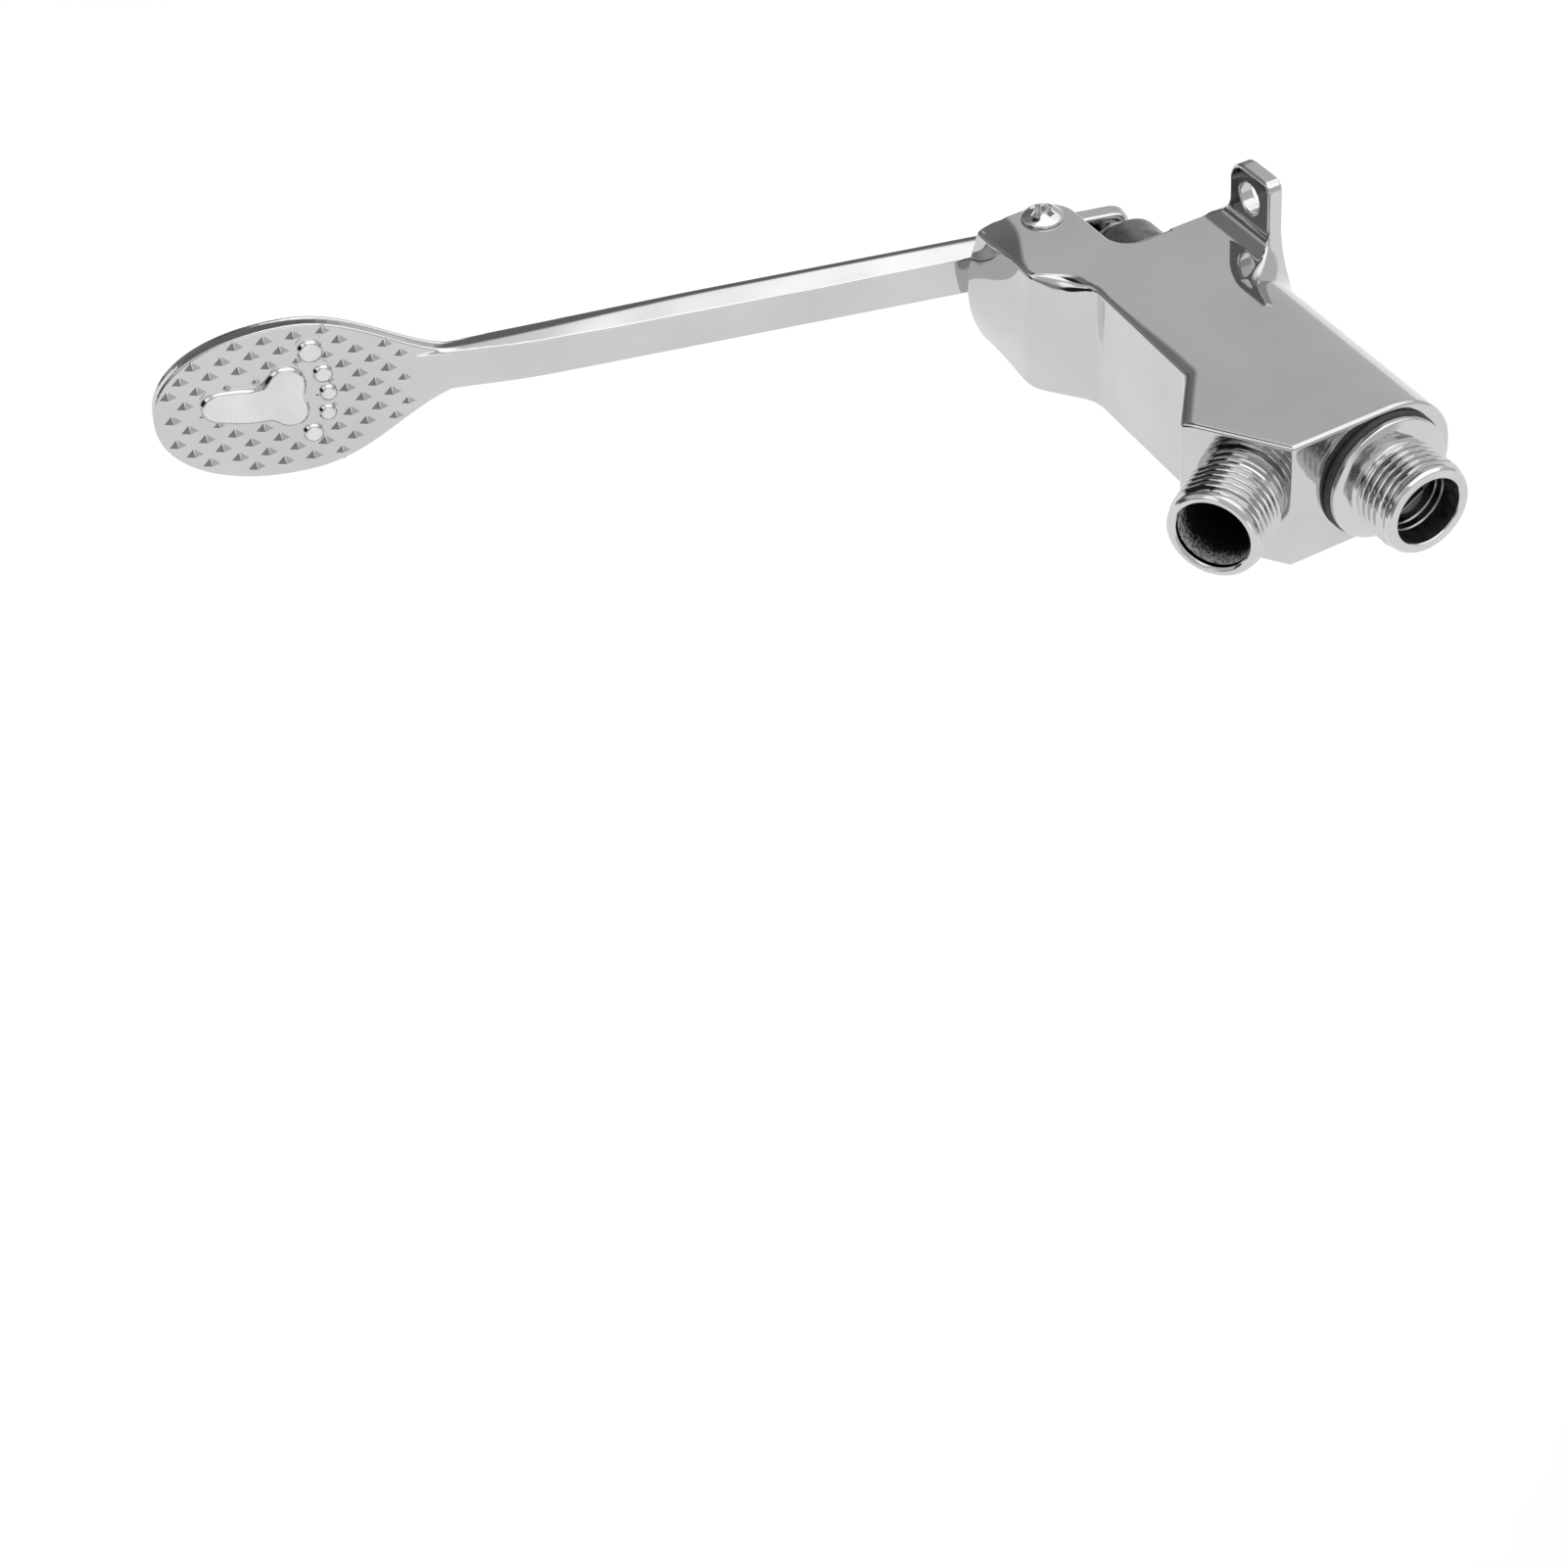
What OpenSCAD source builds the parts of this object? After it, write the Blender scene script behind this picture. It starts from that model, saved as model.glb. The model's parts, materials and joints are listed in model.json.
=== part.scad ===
// Foot pedal tap valve for a wall: pressing the pedal lifts a plunger, which opens a sprung poppet.
// Millimetres. The wall is the plane x = 0, +X points away from it and +Z points up.
// The origin lies on the wall, midway between the two wall screw holes.

/* [Wall plate] */
// Distance between the two wall screw holes
hole_spacing = 48; // [46:0.5:56]
// Diameter of a wall screw hole
hole_d = 7.2; // [5:0.1:8]
// Diameter of the countersunk rim of a wall screw hole
sink_d = 10; // [9:0.1:12]
// Thickness of the wall plate
plate_t = 3.5; // [3:0.1:5]
// Height of the wall plate
plate_h = 14.4; // [13.6:0.2:17]
// Metal left outside a wall screw hole, measured from its centre
ear_reach = 6.6; // [6.2:0.1:8]
// Corner radius of an ear
ear_corner_r = 5.5; // [2:0.5:6]
// Fillet between an ear and the side of the body
ear_fillet_r = 5; // [3:0.5:6]

/* [Valve body] */
// Width of the body across its flat sides
body_w = 30; // [28:0.5:34]
// Height of the top face above the wall screw holes
body_top = 67.2; // [66:0.1:70]
// Depth of the bottom face below the wall screw holes
body_drop = 11.5; // [10.5:0.5:13]
// Distance from the wall to the front of the column
column_front = 42; // [40:0.5:44]
// Distance from the wall to the valve axis
valve_x = 17.5; // [16:0.5:19]

/* [Outlet branch] */
// Angle between the outlet axis and the vertical
outlet_tilt = 56; // [54:0.5:60]
// Height at which the outlet axis crosses the valve axis
outlet_cross_z = 38.5; // [37:0.5:40]
// Distance along the outlet axis from the valve axis to the branch face
branch_reach = 34.1; // [33:0.1:37]
// Half the length of the slanted branch face, from the outlet axis down to its lower edge
branch_half = 12.6; // [12:0.1:13.4]
// Height at which the underside of the branch leaves the column
branch_root_z = 33.6; // [31:0.2:36]
// Length of the threaded outlet stub
outlet_stub = 14.5; // [14:0.5:18]
// Diameter of the cast outlet bore
outlet_bore_d = 15.8; // [14:0.2:16.4]
// Depth of the cast outlet bore below the outlet mouth
outlet_bore_depth = 30; // [26:0.5:32]
// Diameter of the drilled port between the outlet bore and the valve chamber
outlet_port_d = 9; // [7:0.2:9.4]
// How far the drilled port lies below the outlet axis
outlet_port_drop = 3; // [2.6:0.1:3.2]

/* [Pipe threads] */
// Outside diameter of the half inch parallel pipe thread
thread_d = 20.955; // [20.955:0.001:21]
// Pitch of the pipe thread
thread_pitch = 1.814; // [1.7:0.001:1.9]
// Depth of the pipe thread
thread_depth = 1.162; // [0.9:0.001:1.2]
// Number of thread crests on each stub
thread_crests = 5; // [4:1:5]
// Length of the plain chamfered tip of a threaded stub
stub_tip = 1.9; // [1.5:0.1:2.6]

/* [Inlet adapter] */
// Diameter of the inlet bore
inlet_bore_d = 15.2; // [14:0.1:16]
// Height of the inlet mouth above the top face of the body
inlet_reach = 16.3; // [16:0.1:20]
// Diameter of the adapter's flange
flange_d = 27.8; // [27:0.1:29]
// Thickness of the flange at its rim
flange_t = 1.6; // [1.2:0.1:2.4]
// Width of the groove between the flange and the body, where the sealing ring shows
seal_gap = 1.5; // [1.2:0.1:1.8]
// Section diameter of the adapter's sealing ring
seal_wire = 2; // [1.8:0.1:2.2]
// Diameter of the spigot that screws into the body
spigot_d = 19; // [18:0.1:20]
// Length of the spigot below the top face of the body
spigot_len = 8; // [7:0.1:8.3]
// Size across flats of the hexagonal drive inside the adapter
drive_af = 12; // [11.6:0.1:12.4]
// Length of the hexagonal drive
drive_len = 6; // [4:0.5:7]

/* [Seat and poppet] */
// Height of the sealing edge of the valve seat
seat_z = 48.5; // [48:0.1:49.5]
// Diameter of the hole through the seat
seat_bore_d = 10; // [9:0.1:10.4]
// Wall of the seat ring where it sits in its web
seat_wall = 1.2; // [1:0.1:1.4]
// Thickness of the web that carries the seat
seat_web = 2.5; // [2:0.1:2.8]
// Diameter of the valve chamber above the seat
chamber_d = 17; // [16.4:0.1:17.4]
// Diameter of the poppet disc
poppet_d = 14.6; // [14.4:0.1:15]
// Thickness of the poppet disc above the seal
poppet_t = 2.5; // [2:0.1:3]
// Thickness of the rubber poppet seal
seal_t = 3; // [2.5:0.1:3.4]
// Size across flats of the poppet nut
nut_af = 8; // [7:0.1:8.4]
// Height of the poppet nut
nut_h = 3.2; // [2.5:0.1:4]

/* [Return spring] */
// Wire diameter of the return spring
spring_wire = 1; // [0.8:0.1:1]
// Mean diameter of the return spring
spring_d = 12.8; // [12.6:0.1:12.9]
// Turns of the return spring
spring_turns = 6; // [5:1:6]

/* [Plunger and gland] */
// Diameter of the plunger rod
rod_d = 12; // [10:0.1:12.4]
// Diameter of the stem between the rod and the poppet
stem_d = 6; // [5.6:0.1:7]
// Diameter of the threaded top of the stem
neck_d = 4.9; // [4:0.1:5]
// Radius of the rounded nose of the push tip
nose_r = 8; // [7.5:0.1:9]
// Section diameter of the plunger's sealing rings
ring_wire = 2; // [1.6:0.1:2.2]
// Outside diameter of the gland nut inside the body
gland_d = 18; // [17:0.1:18.2]
// Diameter of the gland nut's collar below the body
collar_d = 18.6; // [18.4:0.1:19]
// Length of the gland nut's collar
collar_len = 15.8; // [15:0.1:16.2]
// Height of the top of the gland nut
gland_top_z = 27; // [25:0.5:28]
// Thickness of the retaining ring
circlip_t = 1.2; // [1:0.1:1.4]
// Thickness of the wiper in the foot of the gland nut
wiper_t = 2; // [1.5:0.1:2.5]
// Diameter of the recess that holds the wiper and the retaining ring
recess_d = 16; // [15.6:0.1:16.4]

/* [Fork] */
// Distance from the wall to the pivot
pivot_x = 35.8; // [35.5:0.1:36.4]
// Depth of the pivot below the wall screw holes
pivot_drop = 30.7; // [30.2:0.1:31]
// Depth of the fork's bottom edge below the wall screw holes
fork_drop = 36; // [35.5:0.1:36.8]
// Distance from the wall to the front of the fork at its bottom edge
fork_front = 48.2; // [47.4:0.1:49.4]
// Distance from the wall to the back of the fork
fork_back = 28.5; // [28:0.1:29]
// Distance from the wall to the crease where the shoulder meets the fork's front
crease_x = 49.9; // [49.5:0.1:51]
// Depth of that crease below the wall screw holes
crease_drop = 14.2; // [13:0.1:15]
// Depth at which the shoulder leaves the column, below the wall screw holes
shoulder_drop = 2.3; // [1:0.1:4]
// Swell of the fork's front at its bottom edge
fork_swell = 4.3; // [3:0.1:5]
// Thickness of the fork's front wall at its bottom edge
front_wall = 3.6; // [3:0.1:4]
// Width of the slot between the fork's cheeks
slot_w = 12.8; // [12:0.1:14]
// Radius of the concave corner between the fork and the bottom face
fork_fillet_r = 5.5; // [4:0.1:5.5]

/* [Pivot] */
// Thread diameter of the pivot screw
screw_d = 5; // [4:0.1:5.4]
// Diameter of the pivot screw's pan head
head_d = 9.6; // [8.5:0.1:10]
// Height of the pivot screw's pan head
head_h = 3.2; // [2.6:0.1:3.6]
// Outside diameter of the sleeve that the lever turns on
sleeve_d = 8; // [7.4:0.1:8.6]
// Outside diameter of the lever's hub
hub_d = 13; // [12:0.1:13.4]

/* [Lever] */
// Slope of the lever bar below the horizontal
lever_tilt = 16; // [15.5:0.1:16.5]
// Width of the lever bar
bar_w = 9; // [8:0.1:10]
// Thickness of the lever bar
bar_t = 7.6; // [7:0.1:8.2]
// Distance of the bar's middle line below the pivot
bar_offset = 9.2; // [9:0.1:9.8]
// Thickness of the lever's tail under the plunger
tail_t = 4.2; // [3.8:0.1:4.6]
// Length of the tail behind the pivot
tail_len = 23; // [22:0.5:24]
// Distance from the pivot to the middle of the pad
pad_reach = 165.5; // [150:0.5:175]
// Distance from the middle of the pad to its tip
pad_half = 29.3; // [26:0.1:32]
// Length over which the pad narrows to the bar
neck_len = 40; // [34:0.5:46]
// Width of the pad
pad_w = 38; // [34:0.5:42]
// Thickness of the pad
pad_t = 4.6; // [4.2:0.1:5.4]
// Pitch of the pyramids in the pad's tread
tread_pitch = 4.44; // [4:0.02:5]
// Height of the pyramids in the pad's tread
tread_h = 0.9; // [0.6:0.1:1.2]
// Width of the plain rim round the tread
tread_rim = 1; // [0.6:0.1:2]
// Height of the footprint above the pyramids
print_rise = 0.5; // [0.2:0.1:0.8]

/* [Hidden] */
$fn = 96;

// Clearances, and the overshoot of a cut past the face it opens
run_clear = 0.05;
fit_clear = 0.02;
side_clear = 0.3;
touch_clear = 0.15;
cut = 1;

// Body
half_w = body_w / 2;
back_r = half_w;
bottom_z = -body_drop;
ear_end = hole_spacing / 2 + ear_reach;
ear_root_r = body_drop - plate_h / 2;
outlet_dir = [sin(outlet_tilt), cos(outlet_tilt)];
outlet_across = [-cos(outlet_tilt), sin(outlet_tilt)];
branch_mid = [valve_x, outlet_cross_z] + branch_reach * outlet_dir;
branch_lower = branch_mid - branch_half * outlet_across;
branch_upper = branch_mid + (body_top - branch_mid[1]) / outlet_across[1] * outlet_across;

// Threads
crest_r = thread_d / 2;
root_r = crest_r - thread_depth;
crest_land = thread_pitch / 6;
thread_len = thread_crests * thread_pitch;

// Inlet adapter
flange_under = body_top + seal_gap;
mouth_z = body_top + inlet_reach;
seal_z = body_top + seal_gap / 2;
spigot_end = body_top - spigot_len;
socket_clear = 0.5;
seal_ring_r = (flange_d + 0.8 - seal_wire) / 2;
stub_root_r = root_r + 0.2;

// Fork and pivot
pivot_z = -pivot_drop;
fork_z = -fork_drop;
crease = [crease_x, -crease_drop];
lobe_r = fork_drop - pivot_drop + 1.5;
lobe = [fork_back + lobe_r, fork_z + lobe_r];
slot_front = fork_front - front_wall;
slot_roof = pivot_z + hub_d / 2 + 2;
swell_r = (half_w * half_w + fork_swell * fork_swell) / (2 * fork_swell);
swell_lean = atan((fork_front + fork_swell - crease_x) / (fork_drop - crease_drop));

// Lever, in coordinates along the bar (s) and across it (t) from the pivot
lever_pivot = [pivot_x, pivot_z];
along = [cos(lever_tilt), -sin(lever_tilt)];
across = [sin(lever_tilt), cos(lever_tilt)];
function on_lever(s, t) = lever_pivot + s * along + t * across;
hub_w = slot_w - 2 * side_clear;
bar_top = -bar_offset + bar_t / 2;
bar_under = -bar_offset - bar_t / 2;
tail_top = bar_under + tail_t;
pad_top = -bar_offset - 0.7 + pad_t / 2;
pad_under = pad_top - pad_t;
pad_tip = pad_reach + pad_half;
neck_s = pad_reach - neck_len;
tread_start = pad_reach - 0.62 * neck_len;
tip_power = 2.15;

// Plunger, set by where its nose meets the lever's tail
nose_lift = nose_r + touch_clear + tail_top + (pivot_x - valve_x) * sin(lever_tilt);
nose_z = pivot_z + nose_lift / cos(lever_tilt);
nose_edge = nose_z - sqrt(nose_r * nose_r - rod_d * rod_d / 4);
rod_foot = nose_edge + 0.8;
rod_top = 19;
tip_pin_d = 5;
tip_pin_len = 5;
lower_ring_z = 8;
upper_ring_z = 14;
ring_r = rod_d / 2 - 0.6;

// Gland
groove_depth = 0.5;
gland_foot = bottom_z - collar_len;
circlip_z = gland_foot + 1;
wiper_z = circlip_z + circlip_t;
gland_ring_z = gland_top_z - 5;

// Seat and poppet
seat_lip = 0.8;
seat_flange = 1;
chamber_floor = seat_z - seat_lip;
web_under = chamber_floor - seat_web;
seat_r = seat_bore_d / 2 + seat_wall;
outlet_chamber_d = chamber_d - 2;
disc_z = seat_z + seal_t;
disc_top = disc_z + poppet_t;
washer_t = 1;
stem_top = disc_top + washer_t + nut_h + 1;

// Return spring, between the poppet disc and the shoulder under the adapter's drive
spring_r = spring_d / 2;
spring_foot = disc_top + fit_clear;
drive_foot = flange_under - 1;
spring_head = drive_foot - fit_clear;
spring_bore_r = spring_r + spring_wire / 2 + 0.3;
wire_sides = 6;
rings_per_turn = 8;
wire_rings = spring_turns * rings_per_turn;

// Points round an arc, and along the outer edge of a ring thread that starts at height h
function arc(c, r, a0, a1, n = 12) =
    [for (i = [0:n]) c + r * [cos(a0 + (a1 - a0) * i / n), sin(a0 + (a1 - a0) * i / n)]];
function thread_edge(h) = [
    for (i = [0:thread_crests - 1]) each [
        [root_r, h + i * thread_pitch],
        [crest_r, h + (i + 0.5) * thread_pitch - crest_land],
        [crest_r, h + (i + 0.5) * thread_pitch + crest_land]
    ]
];
function mix(a, b, u) = a + (b - a) * u;

// Extrudes a drawing in x and z to a width in y, centred on the middle plane
module slab(w) {
    rotate([90, 0, 0])
        linear_extrude(w, center = true)
            children();
}

// Places children on the valve axis, on the outlet axis, or at the pivot with z along the pivot axis
module on_valve(z = 0) {
    translate([valve_x, 0, z]) children();
}
module on_outlet(d = 0) {
    translate([valve_x, 0, outlet_cross_z])
        rotate([0, outlet_tilt, 0])
            translate([0, 0, d]) children();
}
module at_pivot() {
    translate([pivot_x, 0, pivot_z])
        rotate([90, 0, 0]) children();
}

module ring(r, wire) {
    rotate_extrude()
        translate([r, 0]) circle(d = wire, $fn = 32);
}

// Side view of the body, from the wall out and round
module body_outline() {
    polygon(concat(
        [[0, bottom_z]],
        arc([fork_back - fork_fillet_r, bottom_z - fork_fillet_r], fork_fillet_r, 90, 0),
        arc(lobe, lobe_r, 180, 270),
        [
            [fork_front, fork_z], crease, [column_front - 0.9, -shoulder_drop],
            [column_front + 0.4, branch_root_z], branch_lower, branch_upper,
            [0, body_top]
        ]
    ));
}

// The column's plan: flat sides, with a round back that touches the wall
module body_plan() {
    translate([back_r, 0]) circle(back_r);
    translate([back_r, -half_w]) square([2 * crease_x, body_w]);
}

module body_block() {
    intersection() {
        slab(body_w + 2 * cut) body_outline();
        translate([0, 0, fork_z - cut])
            linear_extrude(body_top - fork_z + 2 * cut) body_plan();
    }
}

// The fork's front swells towards its bottom edge
module fork_swelling() {
    intersection() {
        translate([fork_front + fork_swell, 0, fork_z])
            rotate([0, -swell_lean, 0])
                translate([-swell_r, 0, -fork_drop])
                    cylinder(r = swell_r, h = 3 * fork_drop);
        translate([slot_front, -half_w, fork_z])
            cube([crease_x, body_w, fork_drop - crease_drop]);
    }
}

// Front view of the ears and the strip between them, whose corners curve into the body's sides
module ear_outline() {
    root_top = plate_h / 2 + ear_root_r;
    root_half = half_w + ear_root_r;
    difference() {
        union() {
            translate([-ear_end, -plate_h / 2 + ear_corner_r])
                square([2 * ear_end, plate_h - 2 * ear_corner_r]);
            translate([-ear_end + ear_corner_r, -plate_h / 2])
                square([2 * (ear_end - ear_corner_r), plate_h]);
            for (side = [-1, 1], end = [-1, 1])
                translate([side * (ear_end - ear_corner_r), end * (plate_h / 2 - ear_corner_r)])
                    circle(ear_corner_r);
            translate([-root_half, -root_top]) square([2 * root_half, 2 * root_top]);
        }
        for (side = [-1, 1], end = [-1, 1])
            translate([side * root_half, end * root_top]) circle(ear_root_r);
    }
}

// Plan of the ears, with the filled corners that join them to the round back
module ear_plan() {
    fillet_half = half_w + ear_fillet_r;
    translate([0, -ear_end]) square([plate_t, 2 * ear_end]);
    translate([0, -half_w]) square([back_r, body_w]);
    difference() {
        translate([0, -fillet_half]) square([plate_t + ear_fillet_r, 2 * fillet_half]);
        for (side = [-1, 1])
            translate([plate_t + ear_fillet_r, side * fillet_half]) circle(ear_fillet_r);
    }
}

module wall_hole() {
    depth = (sink_d - hole_d) / 2;
    rotate([0, 90, 0]) {
        translate([0, 0, -cut]) cylinder(d = hole_d, h = plate_t + 2 * cut);
        translate([0, 0, plate_t - depth]) cylinder(d1 = hole_d, d2 = sink_d + 2 * cut, h = depth + cut);
    }
}

module wall_plate() {
    difference() {
        intersection() {
            rotate([90, 0, 90]) linear_extrude(back_r) ear_outline();
            translate([0, 0, bottom_z]) linear_extrude(2 * body_drop) ear_plan();
        }
        for (side = [-1, 1])
            translate([0, side * hole_spacing / 2, 0]) wall_hole();
    }
}

// Threaded stub standing on z = 0, up to height h
module stub(h) {
    start = h - stub_tip - thread_len;
    rotate_extrude()
        polygon(concat(
            [[0, -cut], [stub_root_r, -cut], [stub_root_r, start]],
            thread_edge(start),
            [
                [root_r, start + thread_len], [crest_r - 0.3, start + thread_len + 0.4],
                [crest_r - 0.3, h - 1], [crest_r - 1.2, h], [0, h]
            ]
        ));
}

module body_bores() {
    socket_d = spigot_d + 2 * fit_clear;
    on_valve(spigot_end - socket_clear)
        cylinder(d = socket_d, h = spigot_len + socket_clear + cut);
    on_valve(seal_z)
        ring(seal_ring_r, seal_wire + 2 * fit_clear);
    on_valve(chamber_floor)
        cylinder(d = chamber_d, h = spigot_end - chamber_floor);
    on_valve(web_under - cut)
        cylinder(r = seat_r + fit_clear, h = seat_web + 2 * cut);
    on_valve(gland_top_z - cut)
        cylinder(d = outlet_chamber_d, h = web_under - gland_top_z + cut);
    on_valve(bottom_z - cut)
        cylinder(d = gland_d + 2 * fit_clear, h = gland_top_z - bottom_z + cut);
    on_valve(fork_z - cut)
        cylinder(d = collar_d + 2 * side_clear, h = bottom_z - fork_z + cut);
    on_outlet(branch_reach + outlet_stub - outlet_bore_depth)
        cylinder(d = outlet_bore_d, h = outlet_bore_depth + cut);
    on_outlet()
        translate([outlet_port_drop, 0, 0])
            cylinder(d = outlet_port_d, h = branch_reach + outlet_stub - outlet_bore_depth + cut);
}

module fork_slot() {
    slab(slot_w)
        translate([fork_back - cut, fork_z - cut])
            square([slot_front - fork_back + cut, slot_roof - fork_z + cut]);
    at_pivot()
        cylinder(d = screw_d + 2 * run_clear, h = body_w + 2 * cut, center = true);
}

module valve_body() {
    color("silver")
        difference() {
            union() {
                body_block();
                fork_swelling();
                wall_plate();
                on_outlet(branch_reach) stub(outlet_stub);
            }
            body_bores();
            fork_slot();
        }
}

module inlet_adapter() {
    color("silver")
        on_valve()
            difference() {
                union() {
                    translate([0, 0, mouth_z - inlet_reach + seal_gap + flange_t])
                        stub(inlet_reach - seal_gap - flange_t);
                    translate([0, 0, flange_under])
                        cylinder(d = flange_d, h = flange_t);
                    translate([0, 0, flange_under + flange_t])
                        cylinder(d1 = flange_d - 1, d2 = 2 * stub_root_r, h = 1.4);
                    translate([0, 0, spigot_end])
                        cylinder(d = spigot_d, h = flange_under - spigot_end + flange_t);
                }
                translate([0, 0, drive_foot + drive_len])
                    cylinder(d = inlet_bore_d, h = mouth_z);
                translate([0, 0, drive_foot - cut])
                    cylinder(d = drive_af / cos(30), h = drive_len + 2 * cut, $fn = 6);
                translate([0, 0, spigot_end - cut])
                    cylinder(r = spring_bore_r, h = drive_foot - spigot_end + cut);
                translate([0, 0, seal_z])
                    ring(seal_ring_r, seal_wire + 2 * fit_clear);
            }
}

module inlet_o_ring() {
    color("black")
        on_valve(seal_z)
            ring(seal_ring_r, seal_wire);
}

// Ring with a sealing lip, pressed into the web of the body
module valve_seat() {
    color("gold")
        on_valve()
            difference() {
                union() {
                    translate([0, 0, web_under]) cylinder(r = seat_r, h = seat_z - web_under);
                    translate([0, 0, chamber_floor]) cylinder(r = seat_r + seat_flange, h = seat_lip / 2);
                }
                translate([0, 0, web_under - cut])
                    cylinder(d = seat_bore_d, h = seat_z - web_under + 2 * cut);
            }
}

module gland_nut() {
    bevel = 0.8;
    collar_r = collar_d / 2;
    color("gold")
        on_valve()
            difference() {
                rotate_extrude()
                    polygon([
                        [0, gland_foot], [collar_r - bevel, gland_foot], [collar_r, gland_foot + bevel],
                        [collar_r, bottom_z], [gland_d / 2, bottom_z],
                        [gland_d / 2, gland_top_z - fit_clear], [0, gland_top_z - fit_clear]
                    ]);
                translate([0, 0, gland_foot - cut])
                    cylinder(d = rod_d + 2 * run_clear, h = gland_top_z - gland_foot + 2 * cut);
                translate([0, 0, gland_foot - cut])
                    cylinder(d = recess_d, h = wiper_z + wiper_t - gland_foot + cut);
                translate([0, 0, circlip_z - fit_clear])
                    cylinder(d = recess_d + 2 * groove_depth, h = circlip_t + 2 * fit_clear);
                translate([0, 0, gland_ring_z])
                    ring(gland_d / 2 - ring_wire / 2, ring_wire + 2 * fit_clear);
            }
}

module gland_o_ring() {
    color("black")
        on_valve(gland_ring_z)
            ring(gland_d / 2 - ring_wire / 2, ring_wire);
}

module gland_wiper() {
    color("black")
        on_valve(wiper_z)
            difference() {
                cylinder(d = recess_d - 2 * fit_clear, h = wiper_t);
                translate([0, 0, -cut])
                    cylinder(d = rod_d + 2 * run_clear, h = wiper_t + 2 * cut);
            }
}

// Open ring with two drilled lugs beside its gap
module retaining_ring() {
    outer_r = recess_d / 2 + groove_depth - fit_clear;
    inner_r = rod_d / 2 + 0.8;
    lug_r = 1.1;
    lug_turn = 12;
    gap = 2.4;
    color("dimgray")
        on_valve(circlip_z)
            linear_extrude(circlip_t)
                difference() {
                    circle(outer_r);
                    circle(inner_r);
                    translate([-outer_r - cut, -gap / 2]) square([outer_r, gap]);
                    for (side = [-1, 1])
                        rotate(180 + side * 2 * lug_turn)
                            translate([(inner_r + outer_r) / 2, 0]) circle(lug_r / 2);
                }
}

// Pan head on the near cheek with a cross recess, and a shank into the far cheek
module pivot_screw() {
    recess_w = 1.2;
    recess_l = 5.2;
    recess_depth = 1.7;
    dome_r = (head_d * head_d / 4 + head_h * head_h / 4) / head_h;
    color("lightgray")
        at_pivot()
            difference() {
                union() {
                    translate([0, 0, 1.5 - half_w])
                        cylinder(d = screw_d, h = body_w - 1.5);
                    translate([0, 0, half_w])
                        cylinder(d = head_d, h = head_h / 2);
                    translate([0, 0, half_w + head_h / 2])
                        intersection() {
                            translate([0, 0, head_h / 2 - dome_r]) sphere(dome_r);
                            cylinder(d = head_d, h = head_h / 2);
                        }
                }
                for (turn = [20, 110])
                    rotate(turn)
                        translate([-recess_l / 2, -recess_w / 2, half_w + head_h - recess_depth])
                            cube([recess_l, recess_w, recess_depth + cut]);
            }
}

module pivot_sleeve() {
    color("gold")
        at_pivot()
            difference() {
                cylinder(d = sleeve_d, h = slot_w, center = true);
                cylinder(d = screw_d + 2 * run_clear, h = slot_w + cut, center = true);
            }
}

// The spring's wire: a helix whose rings of points stand square to it
function coil_point(i) = let(u = i / wire_rings, turn = 360 * spring_turns * u) [
    spring_r * cos(turn), spring_r * sin(turn),
    mix(spring_foot + spring_wire / 2, spring_head - spring_wire / 2, u)
];
function wire_point(i, k) = let(
    turn = 360 * spring_turns * i / wire_rings,
    a = 360 * k / wire_sides + 30,
    c = coil_point(i)
) c + spring_wire / 2 * [cos(a) * cos(turn), cos(a) * sin(turn), sin(a)];

module return_spring() {
    points = [for (i = [0:wire_rings], k = [0:wire_sides - 1]) wire_point(i, k)];
    last = wire_rings * wire_sides;
    sides = [
        for (i = [0:wire_rings - 1], k = [0:wire_sides - 1])
            let(a = i * wire_sides + k, b = i * wire_sides + (k + 1) % wire_sides)
                each [[a, a + wire_sides, b], [b, a + wire_sides, b + wire_sides]]
    ];
    foot = [for (k = [1:wire_sides - 2]) [0, k, k + 1]];
    head = [for (k = [1:wire_sides - 2]) [last, last + k + 1, last + k]];
    gaps = [
        for (i = [0:wire_rings - rings_per_turn])
            norm(coil_point(i) - coil_point(i + rings_per_turn)) - spring_wire
    ];
    echo(least_gap_between_turns = min(gaps));
    color("lightsteelblue")
        on_valve()
            polyhedron(points, concat(sides, foot, head));
}

// Rod with its ring grooves, the stem through the seat and the threaded neck for the poppet
module plunger_stem() {
    color("gold")
        on_valve()
            difference() {
                union() {
                    translate([0, 0, rod_foot]) cylinder(d = rod_d, h = rod_top - rod_foot);
                    translate([0, 0, rod_top - cut]) cylinder(d = stem_d, h = seat_z - rod_top + cut);
                    translate([0, 0, seat_z - cut]) cylinder(d = neck_d, h = stem_top - seat_z + cut);
                }
                for (h = [lower_ring_z, upper_ring_z])
                    translate([0, 0, h]) ring(ring_r, ring_wire + 2 * fit_clear);
                translate([0, 0, rod_foot - cut])
                    cylinder(d = tip_pin_d + 2 * fit_clear, h = tip_pin_len + 2 * cut);
            }
}

// Sealing ring of the rod, squeezed flush with its running fit
module plunger_ring(h) {
    color("black")
        on_valve(h)
            intersection() {
                ring(ring_r, ring_wire);
                cylinder(d = rod_d, h = 2 * ring_wire, center = true);
            }
}
module lower_plunger_ring() {
    plunger_ring(lower_ring_z);
}
module upper_plunger_ring() {
    plunger_ring(upper_ring_z);
}

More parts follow.
